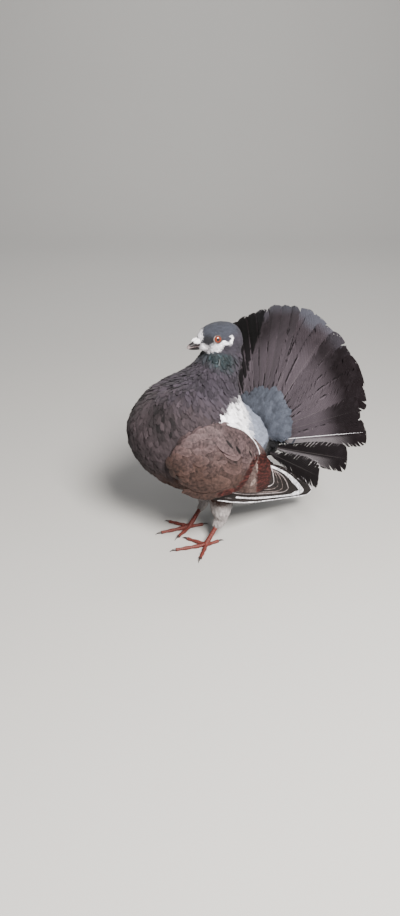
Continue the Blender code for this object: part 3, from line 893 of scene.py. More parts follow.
def grow(hide, roots, lengths, flow, rng, swing):
    """Spines of small feathers that hug the skin: places, normals and sides at each row."""
    places, normals = hide.nearest(roots)
    turn = rng.normal(0, swing, len(roots))[:, None]
    spine, ups, sides = [places], [normals], []
    for _ in range(VANE_STEPS):
        ahead = flow(places, normals)
        side = np.cross(normals, ahead)
        ahead = ahead * np.cos(turn) + side * np.sin(turn)
        sides.append(np.cross(normals, ahead))
        places, normals = hide.nearest(places + ahead * (lengths / VANE_STEPS)[:, None])
        normals = unit(normals + ups[-1])
        spine.append(places)
        ups.append(normals)
    sides.append(sides[-1])
    return np.stack(spine, 1), np.stack(ups, 1), np.stack(sides, 1)


def small_feathers(spine, ups, sides, widths, lifts, rng, roll, fray):
    """Corner points of small feathers along their spines."""
    count, rows = len(spine), VANE_ROWS
    tilt = rng.normal(0, roll, count)[:, None, None]
    side = sides * np.cos(tilt) + ups * np.sin(tilt)
    reach = (VANE_ACROSS * VANE_WIDTHS[rows])[None, :, None] * widths[:, None, None]
    lift = lifts[:, rows] + FEATHER_HALF * VANE_FACE
    lift = lift - FEATHER_CAMBER * (VANE_ACROSS**2 * VANE_WIDTHS[rows]) * widths[:, None]
    step = spine[:, 4] - spine[:, 3]
    ends = rng.uniform(-fray, 0.1, (count, 5)) - 0.3 * np.linspace(-1, 1, 5) ** 2
    push = ends[:, VANE_COLUMNS] * (rows == VANE_STEPS)
    points = spine[:, rows] + side[:, rows] * reach + ups[:, rows] * lift[..., None]
    return points + step[:, None] * push[..., None]


def strip_quads(stations):
    """Faces of a flat strip with four corners at each station, closed at both ends."""
    quads = []
    for base in range(0, (stations - 1) * 4, 4):
        for a, b in ((0, 1), (1, 3), (3, 2), (2, 0)):
            quads.append((base + a, base + b, base + 4 + b, base + 4 + a))
    last = (stations - 1) * 4
    return np.array([*quads, (0, 2, 3, 1), (last, last + 1, last + 3, last + 2)])


STATIONS = 4
STRIP_QUADS = strip_quads(STATIONS)
SHAFT_STATIONS = 14
SHAFT_QUADS = strip_quads(SHAFT_STATIONS)

# Groups of barbs on a flight feather, along the shaft: start of the first, share of the length that
# they take, and how much less the last sweep forward. Across: width at the shaft in shares of
# their pitch, loss of it at the end, and more for frayed ones. Then the rise of the front edge,
# thickness, and spread of tints.
BARBS_START = 0.08
BARBS_SHARE = 0.9
SWEEP_LESS = 0.55
BARB_WIDTH = 1.35
BARB_NARROWS = 0.35
FRAYED_NARROWS = 2.2
BARB_RISE = 0.14
BARB_THICK = 0.16
BARB_TINT = 0.12

# Shaft: share of the feather's length, half width and half height at the root, and loss to the tip
SHAFT_ENDS = 0.97
SHAFT_HALVES = (0.5, 0.4)
SHAFT_THINS = 0.8

# Smooth flight feather: crowding of its rows towards the tip, and its shaft's height and sharpness
TIP_CROWDING = 1.5
RIDGE_HEIGHT = 0.25
RIDGE_SHARPNESS = 9


class Vane:
    """Widths of a flight feather along its length, on its lower and its upper side."""

    def __init__(self, length, half_width, root=0.4, widest=0.45, rounds_from=0.62, power=2.2):
        self.length, self.half_width, self.root = length, half_width, root
        self.widest, self.rounds_from, self.power = widest, rounds_from, power

    def widths(self, s):
        rise = np.minimum(1.0, s / self.widest)
        width = self.root + (1 - self.root) * rise * rise * (3 - 2 * rise)
        past = np.clip((s - self.rounds_from) / (1 - self.rounds_from), 0, 1)
        width = self.half_width * width * np.sqrt(np.maximum(0.0004, 1 - past**self.power))
        return width, width

    def reach(self, s, t):
        """Distance across from the shaft, upward positive."""
        low, high = self.widths(s)
        return t * np.where(t > 0, high, low)

    def edge(self, s, t):
        """Distance from the vane's outline."""
        line = np.linspace(0.02, 1, 70)
        low, high = self.widths(line)
        outline = np.stack((np.tile(line * self.length, 2), np.concatenate((-low, high))), axis=1)
        places = np.stack((s * self.length, self.reach(s, t)), axis=1)
        return np.linalg.norm(places[:, None] - outline, axis=2).min(1)


class CutVane(Vane):
    """Flight feather of the hand: straight and narrow below, broad above and cut back to its tip."""

    # Least width, how soon the lower side is reached from the tip, share of the length in which the
    # root widens, and the root's share of the lower width
    least = 0.4
    low_fall = 3.5
    root_ends = 0.35
    root_share = 0.4

    def __init__(self, length, low, high, fall):
        super().__init__(length, low)
        self.low, self.high, self.fall = low, high, fall

    def widths(self, s):
        rest = (1 - s) * self.length + self.least
        root = step_up(-0.1, self.root_ends, s)
        low = self.low * (1 - np.exp(-rest / self.low_fall))
        high = self.high * (1 - np.exp(-rest / self.fall)) * root
        return low * (self.root_share + (1 - self.root_share) * root), high + self.least


def barbed(plumes, vane, place, spot, tint, rng, count, sweep, fray, split, quill, shaft=0.5, **marks):
    """Flight feather of barb groups on both sides of a shaft; place(s, reach, lift) lays it out."""
    pitch = BARBS_SHARE / count
    start = BARBS_START + pitch * np.arange(count)
    q = np.linspace(0, 1, STATIONS)
    front = np.array((0, 1, 0, 1))
    face = np.array((0, 0, 1, 1))
    for side in (-1, 1):
        ends = 1 - fray * rng.random(count) ** 2
        slip = split * rng.normal(0, 1, count)
        base = start[:, None] + sweep * q * (1 - SWEEP_LESS * start[:, None] ** 3)
        base = base + slip[:, None] * q**3 * pitch
        taper = BARB_WIDTH - (BARB_NARROWS + FRAYED_NARROWS * fray) * q**2
        s = np.minimum(base[..., None] + front * pitch * taper[None, :, None], 1.0).reshape(-1)
        t = np.repeat(side * (q * ends[:, None]).reshape(-1), 4)
        lift = np.tile(BARB_RISE * front - BARB_THICK * face, count * STATIONS)
        points = place(s, vane.reach(s, t), lift).reshape(count, -1, 3)
        quads = STRIP_QUADS[:, ::-1] if side > 0 else STRIP_QUADS
        edge = vane.edge(s, t).reshape(count, -1)
        s, t = s.reshape(count, -1), t.reshape(count, -1)
        tints = tint + BARB_TINT * rng.normal(0, 1, count)
        plumes.add(points, quads, s, t, np.tile(spot, (count, 1)), tints, edge=edge, **marks)
    s = np.linspace(0.0, SHAFT_ENDS, SHAFT_STATIONS)
    none = 0 * s
    middle = place(s, none, none)
    across = unit(place(s, none + 0.5, none) - middle)[:, None]
    up = unit(place(s, none, none + 0.5) - middle)[:, None]
    corner = np.array(((-1, 1), (1, 1), (-1, -1), (1, -1)))
    ring = corner[None, :, :1] * across * SHAFT_HALVES[0] + corner[None, :, 1:] * up * SHAFT_HALVES[1]
    points = middle[:, None] + ring * (quill * (1 - SHAFT_THINS * s))[:, None, None]
    marks = {**marks, "quill": shaft}
    quads = SHAFT_QUADS[:, ::-1]
    plumes.add(points.reshape(1, -1, 3), quads, np.repeat(s, 4), 0.0, spot[None], tint, **marks)


def blade(plumes, vane, place, spot, tint, half, turned=False, **marks):
    """Flight feather as one smooth closed vane with its shaft as a low ridge."""
    s = 1 - (1 - BLADE_ALONG) ** TIP_CROWDING
    t = BLADE_ACROSS
    ridge = RIDGE_HEIGHT * np.exp(-((t * RIDGE_SHARPNESS) ** 2)) * (1 - s)
    points = place(s, vane.reach(s, t), half * BLADE_FACE + ridge * (BLADE_FACE > 0))
    quads = BLADE_QUADS[:, ::-1] if turned else BLADE_QUADS
    plumes.add(points[None], quads, s, t, spot[None], tint, edge=vane.edge(s, t), **marks)


def fan_place(angle, radii, offsets, vane, tilt, curl, twist=0.0, drop=0.0):
    """Place on one feather of the fan, whose outer edge stands in front of its neighbour."""
    along, across, front = fan_directions(angle)
    outer = 1 if angle > 0 else -1
    root, middle, tip = offsets
    hub = FAN_HUB - np.array((0, 0, drop))

    def place(s, reach, lift):
        share = reach / vane.half_width
        bend = root + s * (4 * middle - 3 * root - tip) + s * s * (2 * root - 4 * middle + 2 * tip)
        height = bend + tilt * share * outer + twist * s * share + lift - curl * s**4
        height = height - FAN_CAMBER * share**2
        radius = part_way(radii, s)
        return hub + along * radius[:, None] + across * reach[:, None] + front * height[:, None]

    return place


def wing_place(side, tip, vane, heading, lifts, tilt, bow=0.0):
    """Place on one feather of the folded wing, along the wing's curved outer face."""
    along = np.array((math.cos(heading), math.sin(heading)))
    across = np.array((-along[1], along[0]))
    root = np.array(tip) - along * vane.length

    def place(s, reach, lift):
        arch = reach + 4 * bow * s * (1 - s)
        y, z = (root + along * vane.length * s[:, None] + across * arch[:, None]).T
        height = part_way(lifts, s) - tilt * reach + lift
        return np.stack((side * (wing_x(y, z) + height), y, z), axis=1)

    return place


def inside(rows, y, z):
    """Which points lie within the outline of the wing's flesh."""
    rows = np.asarray(rows, float)
    top = np.interp(y, rows[:, 0], rows[:, 1])
    bottom = np.interp(y, rows[:, 2], rows[:, 3])
    return (y > rows[0, 0]) & (y < rows[-1, 0]) & (z < top) & (z > bottom)


# Soft ellipses in side view: centre, radii, turn in degrees, and softness where it isn't plain.
# The white of the cheek and behind the eye, and the dark of the lore
FACE_WHITE = (
    ((8.8, 214.5), (7.5, 4.6), -35),
    ((18, 216.5), (6.5, 6), 0),
    ((26.5, 219.8), (5.0, 1.3), -12, 0.5),
    ((33.0, 221.4), (4.4, 1.5), 68, 0.5),
)
FACE_DARK = (((11.5, 222), (5, 6), 0, 0.4), ((12.3, 218.5), (2.2, 4.5), 0))
GLOSS = ((21, 202), (14, 10), -25, 0.6)
BREAST_PATCH = ((-53, 164), (12, 16), 0, 0.5)
# The front bar of the wing, the pale patches before its rear bar, and painted shade in the slits between
# coverts
FRONT_BAR = (
    ((0.5, 83.0), (13, 3.8), 2),
    ((15.5, 87.2), (9.5, 4.6), 40),
    ((22.8, 96.5), (10, 4.8), 58),
    ((30.5, 107), (8.5, 4.3), 48),
)
PALE_PATCHES = (((36.8, 100.6), (1.9, 8), 0, 0.4), ((31.5, 84.5), (5, 2.8), 42, 0.4))
COVERT_SLIT_SHADE = (((1.7, 134.6), (5.4, 1.3), -59), ((10.6, 127), (4.9, 1.5), -61), ((27, 118), (4, 0.9), -64))

# White of the forehead: the slanting line behind it, how much further back it lies on the far
# side, and its lower and upper ends
BLAZE_LINE = (4.6, 6.2)
BLAZE_LEVEL = 220.8
BLAZE_SLANT = 0.38
BLAZE_FAR_SHIFT = 6
BLAZE_BOTTOM = (211, 213)
BLAZE_TOP = (229.5, 232.5)

# Where the colours of head and body meet, each as the two ends of a soft step
BELLY_TO_BREAST = (76, 112)
BREAST_TO_NECK = (140, 180)
NECK_TO_NAPE = (209, 216)
NAPE_TO_CROWN = (209, 221)
THIGH_TO_BELLY = (44, 56)
RUMP_LINE = (-2.5, 2.5)
RUMP_SLANT = 1.075
RUMP_LEVEL = 164.3
RUMP_BOTTOM = (100, 112)
RUMP_TOP = (158, 167)
RUMP_STARTS = (-4, 4)
RUMP_GREYS = (-6, 16)
# Where the painted shade under the tail starts behind, and where it ends above
UNDER_TAIL_SHADE_STARTS = (50, 62)
UNDER_TAIL_SHADE_TOP = (104, 114)
RUFFLED_BOTTOM = (135, 180)
RUFFLED_TOP = (205, 213)
GREY_FLECK = (0.22, 0.21, 0.22)

# The same on the wing
# Where the lower shield colour takes over: a warmer brown, darker as painted shade
SHIELD_LOWER_BROWN_AND_SHADE = (92, 138)
PALE_STARTS = (20, 30)
REAR_BAR_STARTS = (36, 38)
REAR_BAR_TOP = (109, 115)

# The same on the fan: its sides, where the painted shadow of head and neck over its far side ends, and the
# painted light just beside that edge, then shares of a feather's length from the band's start
FAN_SIDES = (15, 75)
FAN_PAINTED_SHADOW_EDGE = (-54, -51)
FAN_PAINTED_LIGHT_BESIDE_SHADOW = ((-52, -50), (-48, -45))
BAND_ENDS = (-0.06, 0.2)
TIP_ENDS = (0.24, 0.34)
OUTER_VANE_GREY = (0.17, 0.155, 0.165)

# Values of the mark "band" that part the long feathers, and the secondaries, from the small ones
LONG_ONES = (1.0, 1.5)
SECONDARIES_ONLY = (0.2, 0.4)


def blob(y, z, centre, radii, turn=0.0, soft=0.25):
    """Mask of a soft ellipse in side view."""
    cos, sin = math.cos(math.radians(turn)), math.sin(math.radians(turn))
    u = ((y - centre[0]) * cos + (z - centre[1]) * sin) / radii[0]
    v = ((z - centre[1]) * cos - (y - centre[0]) * sin) / radii[1]
    return (u * u + v * v).root().falls(1 - soft, 1 + soft)


def blobs(y, z, parts):
    """Mask of several soft ellipses together."""
    mask, *others = (blob(y, z, *part) for part in parts)
    for other in others:
        mask = mask.most(other)
    return mask


def head_marks(x, y, z):
    """Masks of the face's white and of its dark lore, in side view."""
    front = y - (z - BLAZE_LEVEL) * BLAZE_SLANT - x.falls(-2, 0) * BLAZE_FAR_SHIFT
    blaze = front.falls(*BLAZE_LINE) * z.falls(*BLAZE_TOP) * z.rises(*BLAZE_BOTTOM)
    return blaze.most(blobs(y, z, FACE_WHITE)), blobs(y, z, FACE_DARK)


def rump_tone(paint, fading, patchy):
    """White of the rump, flecked with grey, and blue grey towards the fan."""
    scene = bpy.context.scene
    pale = paint.mix(tuple(scene.pigeon_coat.blaze), GREY_FLECK, patchy.rises(0.04, 0.22) * 0.8)
    return paint.mix(pale, scaled(scene.pigeon_fan.cover, 2.6), fading)


def plumage_paint():
    """Head and body colours, the same on the skin and on the feathers."""
    tone = bpy.context.scene.pigeon_coat
    paint = Paint("plumage", 0.72, Sheen_Weight=0.03, Sheen_Roughness=0.5, Specular_IOR_Level=0.14)
    spot = paint.vector("spot")
    x, y, z = paint.split(spot)
    wander = paint.noise(spot, 0.12, 3.0) - 0.5
    fleck = paint.noise(spot, 0.55, 1.0) - 0.5
    ragged = wander * 4.0 + fleck * 2.4

    # Lower breast in the belly colour, which carries painted warm floor light and painted shade
    base = paint.mix(tuple(tone.belly), tuple(tone.breast), (z + wander * 30).rises(*BELLY_TO_BREAST))
    base = paint.mix(base, tuple(tone.neck), (z + y * 0.35 + wander * 40).rises(*BREAST_TO_NECK))
    gloss = blob(y, z, *GLOSS)
    base = paint.mix(base, tuple(tone.sheen), gloss)
    # Painted glints: light specks over the neck's green gloss
    painted_glint = paint.noise(paint.stretched(spot, (0.9, 0.9, 0.35)), 1.0, 2.0).rises(0.53, 0.68)
    base = paint.mix(base, scaled(tone.sheen, 3.0), gloss * painted_glint * 0.8)
    base = paint.mix(base, tuple(tone.nape), (z + y * 0.12 + ragged).rises(*NECK_TO_NAPE))
    base = paint.mix(base, tuple(tone.crown), (z - y * 0.3 + ragged).rises(*NAPE_TO_CROWN))

    rump = (y - z * RUMP_SLANT + RUMP_LEVEL + ragged).rises(*RUMP_LINE) * y.rises(*RUMP_STARTS)
    rump = rump * (z + ragged).rises(*RUMP_BOTTOM) * (z + ragged).falls(*RUMP_TOP)
    fading = (y - z * 0.25 + wander * 16).rises(*RUMP_GREYS)
    base = paint.mix(base, rump_tone(paint, fading, fleck + wander * 0.5), rump)
    # Painted shade under the tail: the vent darkened nearly to black
    base = paint.mix(base, scaled(tone.lore, 0.5), y.rises(*UNDER_TAIL_SHADE_STARTS) * z.falls(*UNDER_TAIL_SHADE_TOP))
    base = paint.mix(base, tuple(tone.down), (z + ragged).falls(*THIGH_TO_BELLY))

    streak = paint.noise(paint.stretched(spot, (0.34, 0.34, 0.05)), 1.0, 2.0)
    dark = blob(y, z + x.size() * 0.3, *BREAST_PATCH) * x.size().rises(6, 18)
    base = paint.mix(base, scaled(tone.breast, 0.2), dark * streak.rises(0.3, 0.56))

    shift = fleck * 1.6
    white, lore = head_marks(x, y + shift * 0.6, z + shift)
    base = paint.mix(base, tuple(tone.blaze), white)
    base = paint.mix(base, tuple(tone.lore), lore * (1.0 - white * 0.3))

    along, across = paint.number("along"), paint.number("across").size()
    ruffled = (z - y * 0.2).rises(*RUFFLED_BOTTOM) * z.falls(*RUFFLED_TOP)
    spread = (paint.number("tint") - 0.5) * (0.3 + ruffled * 0.6)
    shade = 0.97 + spread + fleck * 0.3 + (streak - 0.5) * 0.8 + along.rises(0.7, 1.0) * 0.12
    base = paint.shade(base, shade)
    paint.vary("Roughness", 0.74 - gloss * 0.3)
    barbs = (along * 9.0 - across * 2.2).wave()
    return paint.finish(base, barbs, 0.4, 0.0003)


def pale_edge(paint, base, brown, white, grain):
    """Colour with a pale line along the feather's outline."""
    rim = paint.number("rim")
    edge = (rim - paint.number("edge") + grain * 0.6).rises(-0.15, 0.2) * rim.rises(0.05, 0.15)
    tone = paint.mix(brown, white, paint.number("white"))
    return paint.mix(base, tone, edge)


def wing_bars(paint, tone, base, y, z, band, tint):
    """Shield colour with the two red bars and the paler ground between them."""
    streaks = paint.noise(paint.stretched(paint.objects(), (700, 110, 560)), 1.0, 2.0) - 0.5
    uneven = (tint - 0.5) * 2.0 + streaks * 5.0
    pale = (blobs(y, z, PALE_PATCHES) + streaks).rises(0.3, 0.8)
    ground = (y + uneven).rises(*PALE_STARTS) * 0.25 * band.falls(*LONG_ONES)
    base = paint.mix(base, tuple(tone.pale), ground.most(pale))
    rear = (y + uneven).rises(*REAR_BAR_STARTS) * band.falls(*SECONDARIES_ONLY) * z.falls(*REAR_BAR_TOP)
    front = blobs(y + uneven * 0.6, z, FRONT_BAR)
    rust = paint.mix(scaled(tone.bar, 0.75), scaled(tone.bar, 2.5), streaks.rises(-0.08, 0.14))
    return paint.mix(base, rust, rear.most(front))


def wing_paint():
    """Ash brown wing feathers, their bars, and dark flight feathers with pale edges."""
    tone = bpy.context.scene.pigeon_wing
    white = tuple(bpy.context.scene.pigeon_coat.blaze)
    paint = Paint("wing_feathers", 0.6, Sheen_Weight=0.02, Specular_IOR_Level=0.15)
    spot = paint.vector("spot")
    _, y, z = paint.split(spot)
    cloud = paint.noise(spot, 0.08, 3.0) - 0.5
    along, across = paint.number("along"), paint.number("across").size()
    band, tint, flight = paint.number("band"), paint.number("tint"), paint.number("flight")
    grain = paint.noise(paint.objects(), 900.0, 2.0) - 0.5
    mottle = paint.noise(paint.objects(), 360.0, 4.0) - 0.5
    # Warmer brown towards the lower edge, its darkness partly painted shade
    low = (z + y * 0.35 + cloud * 40).falls(*SHIELD_LOWER_BROWN_AND_SHADE)
    base = paint.mix(tuple(tone.shield), tuple(tone.low), low)

    _, own_y, own_z = paint.split(paint.objects())
    own_y, own_z = own_y / MM - ORIGIN[1] / MM, own_z / MM - ORIGIN[2] / MM
    base = wing_bars(paint, tone, base, own_y, own_z, band, tint)
    base = paint.mix(base, tuple(tone.flight), flight)
    base = pale_edge(paint, base, tuple(tone.edge), white, grain)

    small = band.rises(1.2, 1.6) * (1.0 - flight)
    shade = 0.94 + (tint - 0.5) * (0.24 + small * 0.5) + grain * 0.4 + mottle * 2.4
    fringe = (along.rises(0.72, 0.95) + across.rises(0.6, 0.95)) * small * 0.25
    base = paint.shade(base, shade + fringe - across.falls(0.0, 0.05) * 0.2)
    # Painted shade in the slits between the coverts, as dark ellipses on the wing
    base = paint.shade(base, 1.0 - blobs(own_y, own_z, COVERT_SLIT_SHADE) * 0.9)
    barbs = (along * 26.0 - across * 5.0).wave()
    return paint.finish(base, barbs, 0.3)


def fan_painted_shade_and_light(paint, along, band, mottle):
    """Painted shade in broken dark slits between the fan's feathers with a painted highlight along them, and
    the painted shadow of head and neck over the fan's far side, with painted lit feather edges in it and
    painted light beside it.
    """
    edge = paint.number("edge")
    # Painted shade: broken dark slits along the feathers' edges where the gaps between them lie in shade,
    # with a painted highlight on the raised edge just inside
    broken = paint.noise(paint.objects(), 70.0, 1.0).rises(0.5, 0.56)
    broken = broken * band.falls(*LONG_ONES) * along.falls(0.8, 0.9)
    gaps = 1.0 - edge.falls(1.2, 2.2) * broken * 0.93
    gaps = gaps * (1.0 + edge.rises(1.8, 2.4) * edge.falls(3.0, 3.8) * broken * 0.4)
    # Painted shadow of head and neck over the fan's far side, beyond a line across the feathers; pale broken
    # strips along feather edges in it are painted lit edges, and feathers just beside the line get painted
    # light
    own_x, _, _ = paint.split(paint.objects())
    own_x = own_x / MM + mottle * 14
    painted_lit_edges = edge.rises(1.2, 1.8) * edge.falls(3.2, 4.0) * along.rises(0.3, 0.45)
    painted_lit_edges = painted_lit_edges * paint.noise(paint.objects(), 40.0, 1.0).rises(0.46, 0.52)
    far = own_x.falls(*FAN_PAINTED_SHADOW_EDGE) * (1.0 - painted_lit_edges * 0.8)
    beside = own_x.rises(*FAN_PAINTED_LIGHT_BESIDE_SHADOW[0]) * own_x.falls(*FAN_PAINTED_LIGHT_BESIDE_SHADOW[1])
    return gaps, (1.0 - far * 0.88) * (1.0 + beside * 0.35)


def fan_paint():
    """Slate tail feathers with a dark band, pale shafts and blue grey coverts."""
    tone = bpy.context.scene.pigeon_fan
    white = tuple(bpy.context.scene.pigeon_coat.blaze)
    paint = Paint("tail_feathers", 0.6, Sheen_Weight=0.02, Specular_IOR_Level=0.12)
    x, _, _ = paint.split(paint.vector("spot"))
    along, side = paint.number("along"), paint.number("across")
    band, tint, quill = paint.number("band"), paint.number("tint"), paint.number("quill")
    grain = paint.noise(paint.objects(), 700.0, 2.0) - 0.5
    cloud = paint.noise(paint.vector("spot"), 0.06, 2.0) - 0.5
    mottle = paint.noise(paint.objects(), 160.0, 3.0) - 0.5
    long_ones = band.falls(*LONG_ONES)
    cover = paint.mix(scaled(tone.cover, 0.35), scaled(tone.cover, 1.8), mottle + 0.42)
    base = paint.mix(cover, tuple(tone.vane), long_ones)

    reach = along + grain * 0.05 + cloud * 0.1 - band
    outer = x.size().rises(*FAN_SIDES)
    tips = reach.rises(*TIP_ENDS) * (1.0 - outer)
    dark = reach.rises(*BAND_ENDS) * (1.0 - tips * 0.75) * long_ones
    base = paint.mix(base, tuple(tone.band), dark * (0.5 + outer * 0.5 + mottle * 0.4))
    flight = (side * paint.number("flight")).rises(0.05, 0.3)
    base = paint.mix(base, OUTER_VANE_GREY, flight * along.falls(0.55, 0.9))
    base = pale_edge(paint, base, tuple(tone.shaft), white, grain)
    base = paint.mix(base, scaled(tone.cover, 0.85), tips * long_ones * 0.7)

    # The fan's painted shade and light: slits between feathers, and the shadow of head and neck over its far
    # side
    gaps, far = fan_painted_shade_and_light(paint, along, band, mottle)
    # Painted shade in the slits between feathers, with their painted highlights
    base = paint.shade(base, gaps)
    base = paint.mix(base, tuple(tone.shaft), quill.rises(0.1, 0.5) * 0.6)
    base = paint.mix(base, white, quill.rises(0.8, 0.9))
    # Random tint and grain, times the painted shadow over the far side and the painted light beside it
    base = paint.shade(base, (0.84 + tint * 0.24 + grain * 0.4) * far)
    barbs = (along * 34.0 - side.size() * 6.0).wave()
    return paint.finish(base, barbs, 0.25)


class PIGEON_OT_skin(bpy.types.Operator):
    """Make the one skin under the coat, in place of head, neck, torso and thighs"""

    bl_idname = "pigeon.skin"
    bl_label = "Skin"

    def execute(self, context):
        depth = context.scene.pigeon_coat.depth
        mesh = node_copy((*FLESH, "eye_left", "eye_right"))
        lean = Matrix.Rotation(-FAN_LEAN, 4, "X")
        stretch = Matrix.Diagonal((*(half * MM for half in FAN_ROOT_HALF), 1))
        centre = Vector(to_frame(FAN_HUB + np.array(FAN_ROOT_OFFSET)))
        root = Matrix.Translation(centre) @ lean @ stretch
        bmesh.ops.create_uvsphere(mesh, u_segments=24, v_segments=16, radius=1.0, matrix=root)
        data = melted(mesh, SKIN_VOXEL, SKIN_ROUNDS)
        points = read_corners(data)
        _, _, z = to_bird(points).T
        sink = depth * (1 - THIN_ON_HEAD * step_up(195, 215, z))
        sink = sink * (1 - THIN_ON_SHANK * step_up(50, 30, z))
        points -= read_corners(data, "normal") * (sink * MM)[:, None]
        data.vertices.foreach_set("co", points.reshape(-1))
        data.update()
        mark_skin(data)
        add_object("skin", data, plumage_paint(), FLESH)
        return {"FINISHED"}


# Heights that part the coat's regions, and the thighs' middle and half widths
HEAD_BOTTOM = 208
NECK_BOTTOM = 172
BODY_BOTTOM = 60
THIGH_TOP = 62
THIGH_MIDDLE_Y = 20
THIGH_HALVES = (45, 24)


def in_head(points):
    return points[:, 2] > HEAD_BOTTOM


def in_neck(points):
    return (points[:, 2] <= HEAD_BOTTOM) & (points[:, 2] > NECK_BOTTOM)


def in_body(points):
    return (points[:, 2] <= NECK_BOTTOM) & (points[:, 2] > BODY_BOTTOM) & ~under_wing(points)


def in_breast(points):
    return in_body(points) & (points[:, 1] < 0)


def in_back(points):
    return in_body(points) & (points[:, 1] >= 0)


def in_thighs(points):
    x, y, z = points.T
    beside = (np.abs(x) < THIGH_HALVES[0]) & (np.abs(y - THIGH_MIDDLE_Y) < THIGH_HALVES[1])
    return (z <= THIGH_TOP) & beside


def under_wing(points):
    """Where the wing hides the body well inside its outline."""
    x, y, z = points.T
    hidden = np.abs(x) > 20
    for step_y, step_z in ((-7, 0), (7, 0), (0, -7), (0, 7)):
        hidden = hidden & inside(WING_CORE, y + step_y, z + step_z)
    return hidden


def off_eye(spine):
    """Feathers that keep clear of the eyes' openings."""
    clear = np.ones(len(spine), bool)
    for side in SIDES.values():
        centre = np.array(EYE_CENTRE) * (side, 1, 1)
        looks = np.array(EYE_LOOKS) * (side, 1, 1)
        away = spine - centre
        ahead = away @ looks
        radial = np.linalg.norm(away - ahead[..., None] * looks, axis=2)
        clear &= ((radial > EYE_OPENING + EYE_CLEARANCE) | (ahead < 0)).all(axis=1)
    return clear


# A stretch of a coat: where it grows, its feathers' length and gap from place to place, their
# width as a share of the length, lift, how far they swing and roll, how ragged they end, and seed
Region = namedtuple("Region", "where length gap width lift swing roll fray seed")


def from_bill(points):
    """Distance from the foot of the bill."""
    return np.linalg.norm(points - BILL_BASE, axis=1)


def even(value):
    """The same value at every place of a region."""
    return lambda points: np.full(len(points), float(value))


def coat_regions(settings):
    """The coat's regions, in proportion to the breast feathers."""
    length, gap = settings.length, settings.spacing

    def thinner(value, least):
        return lambda points: value * (1 - (1 - least) * step_up(NECK_BOTTOM, HEAD_BOTTOM, points[:, 2]))

    return {
        "head_feathers": Region(
            in_head,
            lambda points: 2.2 + 0.11 * from_bill(points),
            lambda points: 0.95 + 0.013 * from_bill(points),
            width=0.24, lift=0.6, swing=0.12, roll=0.07, fray=0.4, seed=1,
        ),
        "neck_feathers": Region(
            in_neck,
            thinner(length, 0.6),
            thinner(gap, 0.68),
            width=0.15, lift=1.9, swing=0.24, roll=0.2, fray=0.8, seed=2,
        ),
        "breast_feathers": Region(
            in_breast,
            even(length),
            even(gap),
            width=0.16, lift=1.6, swing=0.2, roll=0.16, fray=0.8, seed=3,
        ),
        "back_feathers": Region(
            in_back,
            even(length),
            even(gap),
            width=0.22, lift=1.8, swing=0.16, roll=0.12, fray=0.9, seed=4,
        ),
        "thigh_feathers": Region(
            in_thighs,
            even(0.8 * length),
            even(0.7 * gap),
            width=0.16, lift=1.8, swing=0.14, roll=0.1, fray=0.8, seed=5,
        ),
    }


# Waves of lift over the coat, as radians for each millimetre, and a feather's lift from row to row
RUFFLE = np.array(((0.31, 0.12, 0.05), (-0.17, 0.27, 0.11), (0.05, -0.21, 0.33), (0.23, 0.15, -0.19)))
ROW_LIFTS = np.array((0.0, 0.4, 0.7, 0.9, 1.0))


def cover(hide, region, flow):
    """Small feathers over a region of a skin."""
    rng = np.random.default_rng(region.seed)
    roots = hide.scatter(region.where, region.gap, region.seed)
    lengths = region.length(roots) * rng.uniform(0.85, 1.15, len(roots))
    spine, ups, sides = grow(hide, roots, lengths, flow, rng, region.swing)
    clear = off_eye(spine)
    spine, ups, sides, lengths = spine[clear], ups[clear], sides[clear], lengths[clear]
    rise = ROW_LIFTS * region.lift
    ruffle = 1 + 0.5 * np.sin(roots[clear] @ RUFFLE.T).mean(axis=1)[:, None]
    lifts = rise * ruffle * rng.uniform(0.8, 1.2, (len(spine), 1))
    points = small_feathers(spine, ups, sides, lengths * region.width, lifts, rng, region.roll, region.fray)
    return points, spine[:, 3], rng.random(len(spine))


def lay_small(hide, region, flow, most=3000):
    """A region's small feathers, in groups from the lowest up with no more than most in each."""
    points, spots, tints = cover(hide, region, flow)
    groups = []
    for part in np.array_split(np.argsort(spots[:, 2]), math.ceil(len(points) / most)):
        plumes = Plumes()
        plumes.add(points[part], VANE_QUADS, VANE_ALONG, VANE_ACROSS, spots[part], tints[part])
        groups.append(plumes)
    return groups


class PIGEON_OT_coat(bpy.types.Operator):
    """Lay small feathers over the skin of head, neck, body and thighs"""

    bl_idname = "pigeon.coat"
    bl_label = "Coat"

    def execute(self, context):
        skin = bpy.data.objects["skin"]
        hide = Hide(skin.data)
        for name, region in coat_regions(context.scene.pigeon_coat).items():
            slot = "thigh_feathers" if name == "thigh_feathers" else "plumage"
            for number, plumes in enumerate(lay_small(hide, region, coat_flow), 1):
                plumes.build(f"{name}_{number}", skin.data.materials[0], slot)
        return {"FINISHED"}


